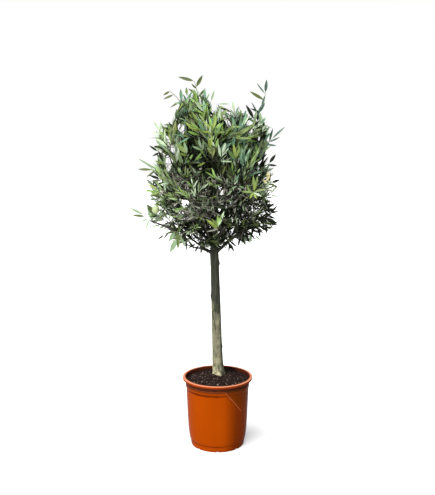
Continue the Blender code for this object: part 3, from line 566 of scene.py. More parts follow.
def barkPush(angle, height, radius):
    # how far the bark stands out from the model's plain round
    around = Vector((math.cos(angle), math.sin(angle), 0.0))
    folds = noise.fractal(around * 1.7 + Vector((3.1, 0.0, height * 5.0)), 0.6, 2.1, 3)
    cracks = noise.noise(around * 5.5 + Vector((0.0, 7.7, height * 26.0)))
    grain = noise.noise(around * 11.0 + Vector((5.0, 1.7, height * 60.0)))
    push = trunk["ridges"] * folds + trunk["fissures"] * (0.5 * grain - 2.0 * max(0.0, cracks))
    return push + spotPush(trunk["knots"] + trunk["rootLumps"], angle, height, radius)


def slitMask(x, y, height, slit):
    # 1 along a slanted line on the side of the trunk that faces the viewer
    (startX, startZ), (endX, endZ), half = slit
    slope = (endX - startX) / (endZ - startZ)
    middle = startX - slope * startZ
    line = height.math("MULTIPLY_ADD", -slope, x).band(middle - half, middle + half, 0.001)
    tall = height.band(min(startZ, endZ) + 0.003, max(startZ, endZ) - 0.003, 0.004)
    return line * tall * y.range(0.012, 0.019, 1.0, 0.0)


def barkMaterial():
    material = newMaterial("oliveTrunkBark", 0.82, 0.12)
    x, y, height = splitPlace(placeIn(material))
    patch = noiseIn(material, 38.0, roughness=0.62, squash=0.45)
    middle = trunk["turnHeight"] + 0.15
    turned = patch.math("MULTIPLY_ADD", 0.3, height).range(middle - 0.035, middle + 0.03)
    dark = noiseIn(material, 170.0, roughness=0.65, squash=0.1).stops((0.3, 0.48, 0.72), trunk["darkBark"])
    blotches = noiseIn(material, 75.0, squash=0.5)
    bark = blotches.stops((0.34, 0.52, 0.75), trunk["paleBark"])
    foot = height.range(*trunk["footHeights"], 1.0, 0.0) * blotches.range(0.4, 0.56)    # palest low down
    centre = height.range(0.26, trunk["fork"], 0.002, trunk["leanX"] * (trunk["fork"] - trunk["leanStart"]))
    shade = x.math("SUBTRACT", centre).range(*trunk["shadeFrom"], 0.0, 0.8)
    bark = bark.covered(foot, trunk["footBark"]).covered(shade, trunk["shadeBark"]).covered(turned, dark)
    for slit in trunk["slits"]:
        bark = bark.covered(slitMask(x, y, height, slit) * 0.9, trunk["shadeBark"])
    cracks = noiseIn(material, 120.0, 5.0, 0.7, 0.22)
    bark = bark.covered(cracks.range(0.6, 0.7, 0.0, 0.75), trunk["scar"])
    return dressMaterial(material, bark, noiseIn(material, 260.0, 5.0, 0.7, 0.25), 0.7, 0.0014)


def makeTrunk():
    sides, rings = trunk["sides"], trunk["rings"]
    low = trunk["foot"] - trunk["sunk"]
    points = []
    for ring in range(rings):
        share = ring / (rings - 1)
        height = low + (trunk["top"] - low) * (share * 0.75 + 0.25 * share * share)    # closer rings low down
        level = max(height, trunk["foot"])
        centre, radius = trunkCentre(level), trunkRadius(level)
        for side in range(sides):
            angle = math.tau * side / sides
            reach = radius + barkPush(angle, height, radius)
            points.append((centre.x + reach * math.cos(angle), centre.y + reach * math.sin(angle), height))
    points.append((*trunkCentre(trunk["foot"]).xy, low))
    points.append((*trunkCentre(trunk["top"]).xy, trunk["top"] + 0.002))
    mesh = meshFromArrays("trunk_bark", points, tubeFaces(rings, sides))
    finishPiece(addObject("trunk_bark", mesh), [barkMaterial()], ["trunk"])


makeTrunk()
print("trunk done")


# the crown: its outline, its sixteen spaces and the limb that leads into each

crown = {
    "axisX": -0.02,
    "axisY": 0.0,
    "evenOutline": (    # height and radius, as the model's masses are laid out
        (0.708, 0.03), (0.745, 0.13), (0.8, 0.196), (0.85, 0.214), (0.95, 0.212), (1.05, 0.201),
        (1.11, 0.206), (1.14, 0.188), (1.165, 0.16), (1.235, 0.147), (1.268, 0.075),
    ),
    "reach": (    # height, reach to the left and to the right, as far as the leaves grow
        (0.7, 0.03, 0.026), (0.715, 0.08, 0.066), (0.743, 0.142, 0.124), (0.772, 0.148, 0.176),
        (0.8, 0.178, 0.214), (0.828, 0.202, 0.219), (0.856, 0.212, 0.214), (0.884, 0.217, 0.21),
        (0.939, 0.22, 0.217), (0.994, 0.202, 0.204), (1.022, 0.18, 0.2), (1.076, 0.181, 0.197),
        (1.104, 0.207, 0.209), (1.131, 0.192, 0.2), (1.158, 0.146, 0.184), (1.185, 0.126, 0.176),
        (1.22, 0.112, 0.17), (1.25, 0.098, 0.16), (1.275, 0.075, 0.12), (1.295, 0.035, 0.04),
    ),
    "depthShare": 0.95,
    "roundness": 2.3,
    "notch": (0.046, 1.262, 0.036),
    # x and height of the leafy crest, left to right
    "crest": (
        (-0.205, 1.118), (-0.168, 1.144), (-0.148, 1.162), (-0.13, 1.196), (-0.116, 1.236), (-0.09, 1.246),
        (-0.05, 1.246),
        (-0.028, 1.222), (-0.005, 1.198), (0.04, 1.188), (0.085, 1.182), (0.12, 1.166), (0.15, 1.174),
        (0.172, 1.148), (0.205, 1.105),
    ),
    "crestSpikes": (0.026, 26.0),    # height and fineness
    "masses": 16,
    "turn": math.radians(137.508),
    "firstAzimuth": math.radians(200.0),
    "seedHeights": (0.775, 1.205),
    "seedShare": 0.64,
    "topSeedsFrom": 0.8,
    "topSeedsPull": 0.45,
    # sky that shows through: x and z on the crown's middle plane, and radius
    "skyGaps": (
        (-0.124, 1.13, 0.014), (-0.167, 1.022, 0.014), (-0.173, 0.819, 0.013), (-0.114, 0.873, 0.015),
        (-0.192, 0.806, 0.012), (-0.158, 1.061, 0.012), (0.114, 1.153, 0.012), (-0.214, 0.848, 0.013),
        (-0.17, 0.998, 0.009), (0.191, 1.085, 0.011), (0.04, 1.147, 0.012), (-0.016, 1.193, 0.0095),
        (-0.058, 1.221, 0.0095), (-0.199, 0.949, 0.0095), (0.024, 1.165, 0.0085), (-0.17, 1.093, 0.0085),
        (0.114, 1.12, 0.008), (0.177, 1.095, 0.007), (0.142, 1.097, 0.007), (0.059, 1.177, 0.008),
        (0.008, 0.928, 0.007), (0.017, 0.909, 0.007), (0.054, 0.779, 0.0065), (0.124, 0.775, 0.009),
        (-0.096, 0.758, 0.008),
    ),
}

limbs = {
    "heights": (0.696, 0.768),
    "sunk": 0.35,
    "aside": 0.055,
    "riseShare": 0.3,
    "steepest": 1.15,
    "radius": 0.0066,
    "tipRadius": 0.003,
    "leaderOverlap": 0.003,
    "leaderPull": 0.12,
    "overreach": 1.36,
    "stemRise": 0.03,
    "leastShare": 0.34,
    "mostShare": 0.8,
    "stemClearance": 0.008,
    "collar": 0.003,    # extra radius where a bough leaves the trunk
    "collarLength": 0.011,
    "sides": 18,
    "rings": 44,
    "ridges": 0.00065,
    # streaks, bark and its palest spots
    "bark": ((0.01, 0.009, 0.007), (0.02, 0.019, 0.014), (0.058, 0.054, 0.042)),
}


reachLevels, *reachSides = (np.array(column) for column in zip(*crown["reach"]))
crestX, crestZ = (np.array(column) for column in zip(*crown["crest"]))


def roundShare(point, side, deepest):
    across = abs(point[0] - crown["axisX"]) / side
    deep = abs(point[1] - crown["axisY"]) / deepest
    return (across ** crown["roundness"] + deep ** crown["roundness"]) ** (1.0 / crown["roundness"])


def evenShare(point):
    levels, radii = zip(*crown["evenOutline"])
    radius = float(np.interp(point[2], levels, radii, left=0.001, right=0.001))
    return roundShare(point, radius, radius * crown["depthShare"])


def reachShare(point):
    # 0 on the crown's axis and 1 at the outline, with the left and right sides as in the photo
    left, right = (float(np.interp(point[2], reachLevels, side, left=0.001, right=0.001))
                   for side in reachSides)
    side = left if point[0] < crown["axisX"] else right
    return roundShare(point, side, (left + right) / 2 * crown["depthShare"])


def axisAt(height):
    return Vector((crown["axisX"], crown["axisY"], height))


def wayTo(azimuth):
    return Vector((math.cos(azimuth), math.sin(azimuth), 0.0))


def crownPoint(azimuth, height, share):
    axis, outward = axisAt(height), wayTo(azimuth)
    return axis + outward * (0.1 * share / evenShare(axis + outward * 0.1))


def massSeeds():
    seeds = []
    low, high = crown["seedHeights"]
    for index in range(crown["masses"]):
        rise = index / (crown["masses"] - 1)
        drawnIn = max(0.0, rise - crown["topSeedsFrom"]) / (1.0 - crown["topSeedsFrom"])
        share = crown["seedShare"] * (1.0 - crown["topSeedsPull"] * drawnIn)
        azimuth = crown["firstAzimuth"] + crown["turn"] * index
        seeds.append(crownPoint(azimuth, low + (high - low) * rise, share))
    return seeds


def spaceWalls(seeds, index):
    return [((seed + seeds[index]) / 2, (seed - seeds[index]).normalized())
            for other, seed in enumerate(seeds) if other != index]


def insideSpace(walls, point, clearance):
    return all((point - middle).dot(outward) < -clearance for middle, outward in walls)


def limbLine(index, seeds):
    seed = seeds[index]
    axis = axisAt(seed.z)
    end = axis + (seed - axis) * limbs["overreach"] + up * limbs["stemRise"]
    if index == crown["masses"] - 1:    # the topmost goes on from the trunk's tip
        start = trunkCentre(trunk["top"]) - up * limbs["leaderOverlap"]
        return start, start + up * limbs["leaderPull"], end
    low, high = limbs["heights"]
    height = low + (high - low) * index / (crown["masses"] - 2)
    outward = wayTo(crown["firstAzimuth"] + crown["turn"] * index)
    start = trunkCentre(height) + outward * trunkRadius(height) * limbs["sunk"]
    rise = min(limbs["riseShare"] * (end.z - start.z), limbs["steepest"] * limbs["aside"])
    return start, start + outward * limbs["aside"] + up * rise, end


def massStart(line, walls):
    share, most, clearance = limbs["leastShare"], limbs["mostShare"], limbs["stemClearance"]
    while share < most and not insideSpace(walls, bendPoint(line, share), clearance):
        share += 0.01
    return share


seeds = massSeeds()
allWalls = [spaceWalls(seeds, index) for index in range(crown["masses"])]
limbLines = [limbLine(index, seeds) for index in range(crown["masses"])]
limbStarts = [massStart(line, walls) for line, walls in zip(limbLines, allWalls)]


def crestRoom(point):
    # how far a place is below the crest, which is spiky from one shoot to the next
    height, fineness = crown["crestSpikes"]
    spike = height * noise.noise(Vector((point[0] * fineness + 3.3, point[1] * fineness, 8.8)))
    return float(np.interp(point[0], crestX, crestZ)) + spike - point[2]


def inNotch(point):
    x, z, radius = crown["notch"]
    return math.hypot(point[0] - x, point[2] - z) < radius or crestRoom(point) < 0.0


def inSkyGap(point):
    # follows the line of sight to the crown's middle plane
    share = viewerEye.y / (viewerEye.y - point[1])
    x = viewerEye.x + (point[0] - viewerEye.x) * share
    z = viewerEye.z + (point[2] - viewerEye.z) * share
    return any((x - gapX) ** 2 + (z - gapZ) ** 2 < radius * radius for gapX, gapZ, radius in crown["skyGaps"])


# round limbs and twigs as closed tubes

class TubeStore:
    def __init__(self):
        self.points, self.walls, self.fans = [], [], []

    def add(self, line, radii, sides, relief=None):
        first = len(self.points)
        side = (line[1] - line[0]).normalized().orthogonal().normalized()
        for index, place in enumerate(line):
            ahead = (line[min(index + 1, len(line) - 1)] - line[max(index - 1, 0)]).normalized()
            side = (side - ahead * side.dot(ahead)).normalized()
            other = ahead.cross(side)
            for corner in range(sides):
                angle = math.tau * corner / sides
                way = side * math.cos(angle) + other * math.sin(angle)
                reach = radii[index] + (relief(place, way) if relief else 0.0)
                self.points.append(place + way * reach)
        self.points += [line[0], line[-1] + (line[-1] - line[-2]).normalized() * radii[-1]]
        wall, *fans = tubeFaces(len(line), sides)
        self.walls.append(wall + first)
        self.fans += [fan + first for fan in fans]

    def mesh(self, name):
        return meshFromArrays(name, np.array([tuple(point) for point in self.points]),
                              [np.vstack(self.walls), np.vstack(self.fans)])


def limbRelief(place, way):
    spot = place * 60.0 + way * 1.4
    return limbs["ridges"] * (noise.noise(spot) + 0.5 * noise.noise(spot * 3.1))


def limbMaterial(name, colours, fineness):
    material = newMaterial(name, 0.8, 0.1)
    bark = noiseIn(material, fineness, roughness=0.65, squash=0.35).stops((0.32, 0.52, 0.74), colours)
    return dressMaterial(material, bark, noiseIn(material, fineness * 2.0, 4.0, 0.7, 0.4), 0.6, 0.0008)


def makeBoughs():
    store = TubeStore()
    count = limbs["rings"]
    for index, (line, start) in enumerate(zip(limbLines, limbStarts)):
        points = bendLine(line, count, start)
        base = limbs["radius"] if index < crown["masses"] - 1 else trunkRadius(trunk["top"]) - 0.0003
        radii = taper(base, limbs["tipRadius"], count)
        run = 0.0
        for step, point in enumerate(points):
            run += (point - points[max(step - 1, 0)]).length
            radii[step] += limbs["collar"] * math.exp(-run / limbs["collarLength"])
        store.add(points, radii, limbs["sides"], limbRelief)
    names = [f"bough_{index + 1:02d}" for index in range(crown["masses"])]
    bark = limbMaterial("boughBark", limbs["bark"], 90.0)
    finishPiece(addObject("bough_bark", store.mesh("bough_bark")), [bark], names)


makeBoughs()
print("boughs done")


# what the leaves and twigs keep clear of: short straight pieces with start, end and radius

obstacles = []
for line, start in zip(limbLines, limbStarts):
    points = bendLine(line, 7, start)
    for first, second, radius in zip(points, points[1:], taper(limbs["radius"], limbs["tipRadius"], 7)):
        obstacles.append((*first, *second, radius))
for step in range(8):
    rise = 0.02 * step
    obstacles.append((*trunkCentre(0.63 + rise), *trunkCentre(0.65 + rise), trunkRadius(0.63 + rise)))
obstacleStarts, obstacleEnds, obstacleRadii = np.split(np.array(obstacles), (3, 6), axis=1)
obstacleSpans = obstacleEnds - obstacleStarts
obstacleLengths = np.sum(obstacleSpans * obstacleSpans, axis=1)


def limbDistance(point):
    away = np.array(point) - obstacleStarts
    shares = np.clip(np.sum(away * obstacleSpans, axis=1) / obstacleLengths, 0.0, 1.0)
    distances = np.linalg.norm(away - obstacleSpans * shares[:, None], axis=1) - obstacleRadii[:, 0]
    return float(np.min(distances))


# foliage: stem, twigs and finer side twigs in each space, with pairs of leaves

growth = {
    "seed": 11,
    "stemEnd": 0.97,
    "stemSteps": 9,
    "stemTipRadius": 0.0011,
    "twigRadius": 0.0019,
    "twigTipRadius": 0.0008,
    "twigs": 17,
    "sideRun": (0.25, 0.98),    # share of a twig that bears side twigs
    "bare": (0.5, 0.62, 0.16),    # leafless share of stems, twigs and side twigs
    "pairShare": 0.94,    # chance of each leaf of a pair
    "leastTwig": 0.022,    # shorter ones are left out
    "twigReach": (0.42, 0.9),
    "lowTwigReach": (0.18, 0.9),
    "lowMassHeight": 0.9,
    "lastSideMass": 11,    # the masses after this one fill the top, right to its middle
    "twigSteps": 8,
    "twigLift": 0.42,
    "twigPull": 0.45,
    "sideSpacing": 0.021,
    "sideLengths": (0.05, 0.098),
    "sideRadius": 0.001,
    "sideTipRadius": 0.0005,
    "sideSteps": 5,
    "leafSpacing": 0.0128,
    "leafLengths": (0.041, 0.064),
    "lowSize": (0.46, 0.72),    # size share of the low leaves in the middle and at the sides
    "leafBreadth": (0.13, 0.184),    # width as a share of length
    "opening": (0.32, 0.8),
    "strays": 0.34,    # share of leaves of another kind than their spray's
    "raggedness": 0.3,
    "shootFineness": 5.4,
    "leafOverhang": 0.12,
    "deepest": 0.214,
    "oldLength": 0.7,    # share of length that dry and old leaves have
    "clearance": 0.004,    # from boughs and trunk
    "tipClearance": 0.003,
    "cloud": 420,
    "cloudHalfSide": 0.16,
}

leafKinds = {    # upper side, underside
    # deep: near-black leaves, dealt inside and low in the crown as painted shade
    "deep": ((0.005, 0.008, 0.003), (0.009, 0.012, 0.007)),
    "olive": ((0.08, 0.118, 0.024), (0.14, 0.175, 0.085)),
    "grey": ((0.112, 0.168, 0.085), (0.19, 0.245, 0.155)),
    "silver": ((0.25, 0.32, 0.2), (0.31, 0.37, 0.27)),
    "teal": ((0.072, 0.148, 0.084), (0.17, 0.25, 0.175)),
    "fresh": ((0.12, 0.2, 0.046), (0.19, 0.265, 0.11)),
    "young": ((0.132, 0.176, 0.031), (0.178, 0.212, 0.074)),
    "old": ((0.022, 0.021, 0.014), (0.042, 0.041, 0.031)),
    "dry": ((0.138, 0.136, 0.106), (0.168, 0.166, 0.138)),
    "dull": ((0.042, 0.058, 0.017), (0.092, 0.116, 0.058)),
    "cream": ((0.42, 0.37, 0.18), (0.43, 0.4, 0.23)),
    "moss": ((0.03, 0.044, 0.001), (0.042, 0.058, 0.006)),
    "shade": ((0.026, 0.054, 0.034), (0.038, 0.068, 0.046)),
}

leafStore = {kind: [] for kind in leafKinds}
barkTwigs, greenTwigs, greyTwigs = TubeStore(), TubeStore(), TubeStore()
twigPoints = []    # places that a later shoot may start from


def outwardAt(point):
    return (point - axisAt(min(max(point.z - 0.03, 0.86), 1.06))).normalized()


def edgeShare(point):
    # the crown's edge bulges and draws in from one shoot to the next
    way = Vector((point[0] - crown["axisX"], point[1] - crown["axisY"], (point[2] - 0.96) * 0.9)).normalized()
    return 0.95 + growth["raggedness"] * noise.noise(way * growth["shootFineness"] + Vector((2.3, 0.7, 5.1)))


def twigFits(end):
    inCrown = reachShare(end) < edgeShare(end) and not inNotch(end)
    return inCrown and not inSkyGap(end) and limbDistance(end) > growth["clearance"]


def leafFits(root, tip):
    beyond = reachShare(tip) > edgeShare(tip) + growth["leafOverhang"] or abs(tip.y) > growth["deepest"]
    if beyond or inNotch(tip):
        return False
    if any(inSkyGap(root.lerp(tip, share)) for share in (0.2, 0.4, 0.6, 0.8, 1.0)):
        return False
    middleClear = limbDistance(root.lerp(tip, 0.5)) > growth["clearance"]
    return middleClear and limbDistance(tip) > growth["tipClearance"]


def pickKind(place, dice):
    # pale and fresh sprays outside and high up, dark and old ones inside and low down; the near-black deep
    # ones there stand in as painted shade
    high = smoothStep(0.88, 1.08, place.z)
    outer = smoothStep(0.56, 0.9, reachShare(place))
    toRight = smoothStep(-0.02, 0.13, place.x)
    toLeft = smoothStep(0.06, 0.14, -place.x)
    lowest = 1.0 - smoothStep(0.8, 0.91, place.z)
    middle = 1.0 - min(1.0, abs(place.x + 0.005) / 0.12)
    crest = smoothStep(1.1, 1.2, place.z)
    rightEdge = high * smoothStep(0.08, 0.14, place.x)
    low, inner, notLeft, notRight, aside = 1.0 - high, 1.0 - outer, 1.0 - toLeft, 1.0 - toRight, 1.0 - middle
    weights = {
        "deep": 0.05 + (1.8 * low + 0.9 * high * (1.0 - 0.45 * toRight)) * inner * (1.0 - 0.35 * toLeft)
                * (1.0 - 0.75 * crest) * (1.0 - 0.6 * rightEdge) + 0.32 * low * middle
                + 0.32 * low * notLeft + 0.62 * low * toRight + 1.5 * lowest * notLeft,
        "olive": 0.2 - 0.12 * lowest * notLeft,
        "dull": 0.12 + 0.06 * low,
        "grey": 0.18 + 0.05 * high + 0.14 * low * toLeft + 0.12 * low * middle * (1.0 - lowest)
                - 0.12 * lowest * notLeft,
        "silver": (0.04 + 0.14 * outer * aside + 0.04 * high + 0.05 * toLeft) * (1.0 - 0.5 * low * toRight)
                  + 0.16 * rightEdge + 0.06 * low * middle,
        "teal": 0.02 + 0.32 * high * (0.3 + 0.8 * toRight) + 0.26 * crest * notRight + 0.12 * rightEdge,
        "fresh": 0.05 + 0.28 * high * (0.4 + 0.6 * middle) * (1.0 - 0.5 * crest * notRight)
                 + 0.12 * outer * aside + 0.14 * high * toRight + 0.24 * low * toLeft
                 + 0.1 * high * toLeft + 0.1 * low * (1.0 - lowest),
        "young": 0.03 + 0.07 * high * middle * (1.0 - 0.6 * crest),
        "old": 0.32 * low * (0.25 + 0.75 * middle),
        "dry": 0.32 * low * middle * outer * (1.0 - 0.5 * lowest),
    }
    roll = dice.random() * sum(weights.values())
    for kind, weight in weights.items():
        roll -= weight
        if roll <= 0.0:
            return kind
    return "olive"


def sizeAt(place):
    # small worn leaves on the shell low down, full-sized ones inside and higher up
    least, most = growth["lowSize"]
    small = least + (most - least) * smoothStep(0.07, 0.17, abs(place.x - crown["axisX"]))
    inside = 1.0 - smoothStep(0.5, 0.72, reachShare(place))
    return small + (1.0 - small) * max(smoothStep(0.86, 1.03, place.z), inside)


def addLeaf(kind, root, direction, facing, length, width, arch):
    side = facing.cross(direction).normalized()
    leafStore[kind].append((*root, *direction, *side, *direction.cross(side), length, width, arch))


def setLeaf(kind, root, ahead, sideways, dice, sizeShare):
    crest = smoothStep(1.02, 1.14, root.z)    # wider leaves that spread more near the top
    opening = dice.uniform(*growth["opening"]) * (1.0 + 0.3 * crest)
    direction = ahead * math.cos(opening) + sideways * math.sin(opening)
    outward = outwardAt(root)
    lift = -0.08 + 0.5 * smoothStep(0.82, 1.06, root.z) - 0.24 * crest
    direction = (direction + up * lift + outward * 0.18).normalized()
    length = dice.uniform(*growth["leafLengths"]) * sizeShare * sizeAt(root)
    if kind in ("dry", "old"):
        length *= growth["oldLength"]
    for attempt in range(3):
        if leafFits(root, root + direction * length):
            break
        direction = (direction + ahead * 0.6 + up * lift).normalized()
        length *= 0.94
    else:
        return
    facing = outward * 0.7 + up * 0.55 + jitter(dice, 0.75)
    width = length * dice.uniform(*growth["leafBreadth"]) * (1.0 + 0.34 * smoothStep(0.96, 1.08, root.z))
    addLeaf(kind, root, direction, facing, length, width, dice.uniform(-0.05, 0.16))


def dressTwig(points, kind, dice, bare, spacing):
    # pairs of leaves, each pair turned a quarter from the last, and one leaf at the tip
    lengths = np.concatenate([[0.0], np.cumsum([(b - a).length for a, b in zip(points, points[1:])])])
    spacing *= (0.4 + 0.6 * sizeAt(points[-1])) * (1.0 + 0.2 * smoothStep(0.96, 1.08, points[-1].z))
    along = lengths[-1] - 0.003
    turn = dice.uniform(0.0, math.tau)
    order = 0
    while along > lengths[-1] * bare:
        segment = max(min(int(np.searchsorted(lengths, along)) - 1, len(points) - 2), 0)
        ahead = (points[segment + 1] - points[segment]).normalized()
        share = (along - lengths[segment]) / (lengths[segment + 1] - lengths[segment])
        root = points[segment].lerp(points[segment + 1], share)
        side = turnedSide(ahead, turn)
        sizeShare = 0.72 + 0.28 * min(1.0, order / 2.0)
        if order == 0:
            setLeaf(kind, root, ahead, side * 0.25, dice, 0.85)
        for way in (side, -side):
            if dice.random() < growth["pairShare"]:
                own = pickKind(root, dice) if dice.random() < growth["strays"] else kind
                setLeaf(own, root, ahead, way, dice, sizeShare)
        along -= spacing * dice.uniform(0.8, 1.2)
        turn += math.pi / 2 + dice.uniform(-0.25, 0.25)
        order += 1


def growSideTwig(start, ahead, dice, kind, bare):
    side = turnedSide(ahead, dice.uniform(0.0, math.tau))
    opening = dice.uniform(0.45, 1.0)
    way = ahead * math.cos(opening) + side * math.sin(opening)
    lift = 0.14 + 0.95 * smoothStep(0.84, 1.08, start.z) - 0.4 * smoothStep(1.04, 1.16, start.z)
    way = (way + outwardAt(start) * 0.25 + up * lift).normalized()
    length = dice.uniform(*growth["sideLengths"])
    for attempt in range(4):
        end = start + way * length
        if twigFits(end):
            break
        length *= 0.75
    else:
        return
    pull = start + way * length * 0.5 + (up * 0.1 + side * dice.uniform(-0.08, 0.08)) * length
    points = bendLine((start, pull, end + up * length * 0.06), growth["sideSteps"])
    store = greenTwigs if dice.random() < 0.55 + 0.35 * smoothStep(0.85, 1.05, start.z) else barkTwigs
    store.add(points, taper(growth["sideRadius"], growth["sideTipRadius"], len(points)), 4)
    twigPoints.extend(points[1:])
    dressTwig(points, kind, dice, bare, growth["leafSpacing"])


def stemLine(index):
    line, start, stop = limbLines[index], limbStarts[index], growth["stemEnd"]
    while stop > start + 0.1 and crestRoom(bendPoint(line, stop)) < 0.02:
        stop -= 0.02
    return [bendPoint(line, share) for share in taper(start, stop, growth["stemSteps"])]


def twigTargets(index, stem, dice):
    # spreads the ends of the twigs evenly over the space
    wide = seeds[index].z < growth["lowMassHeight"] or index > growth["lastSideMass"]
    least, most = growth["lowTwigReach" if wide else "twigReach"]
    cloud = []
    while len(cloud) < growth["cloud"]:
        point = seeds[index] + jitter(dice, growth["cloudHalfSide"])
        if least < reachShare(point) < most and not inNotch(point) and not inSkyGap(point):
            if insideSpace(allWalls[index], point, 0.004) and limbDistance(point) > 0.008:
                cloud.append(point)
    chosen = [stem[-1]]
    for step in range(growth["twigs"]):
        chosen.append(max(cloud, key=lambda point: min((point - other).length for other in chosen)))
    return chosen[1:]


def branchPlace(stem, target):
    # where on the stem a twig to the target leaves it, and the stem's way there
    choices = []
    for first, second in zip(stem, stem[1:]):
        ahead = (second - first).normalized()
        for share in (0.0, 0.5):
            place = first.lerp(second, share)
            reach = target - place
            choices.append((reach.length + 0.05 * max(0.0, reach.angle(ahead) - 0.7), place, ahead))
    return min(choices, key=lambda choice: choice[0])[1:]


def growMass(index):
    dice = random.Random(growth["seed"] * 100 + index)
    stem = stemLine(index)
    radius, thinner = limbs["tipRadius"], growth["stemTipRadius"] - limbs["tipRadius"]
    barkTwigs.add(stem, [radius + thinner * share ** 0.8 for share in taper(0.0, 1.0, len(stem))], 8)
    stemBare, twigBare, sideBare = growth["bare"]
    dressTwig(stem, pickKind(stem[-1], dice), dice, stemBare, growth["leafSpacing"])
    for target in twigTargets(index, stem, dice):
        place, ahead = branchPlace(stem, target)
        length = (target - place).length
        if length < growth["leastTwig"]:
            continue
        pull = place + (ahead + up * growth["twigLift"]).normalized() * length * growth["twigPull"]
        points = bendLine((place, pull, target), growth["twigSteps"])
        if min(crestRoom(point) for point in points) < 0.012:
            continue
        barkTwigs.add(points, taper(growth["twigRadius"], growth["twigTipRadius"], len(points)), 6)
        twigPoints.extend(points[2:])
        kind = pickKind(target, dice)
        dressTwig(points, kind, dice, twigBare, growth["leafSpacing"] * 1.1)
        last = len(points) - 1
        run, stop = growth["sideRun"]
        while run < stop:
            segment = min(int(run * last), last - 1)
            start = points[segment].lerp(points[segment + 1], run * last - segment)
            ahead = (points[segment + 1] - points[segment]).normalized()
            sideKind = kind if dice.random() < 0.45 else pickKind(start, dice)
            growSideTwig(start, ahead, dice, sideKind, sideBare)
            run += growth["sideSpacing"] / length * dice.uniform(0.75, 1.25)


for index in range(crown["masses"]):
    growMass(index)
print("masses grown:", sum(len(leaves) for leaves in leafStore.values()), "leaves")


# shoots that stand out of the crown, each grown on from the nearest twig
# kind and line (x, y, z, ... in mm), then for each leaf: how many quarter steps along the line it
# sits, its tip in mm, its width in tenths of a mm, and its own kind if it has one

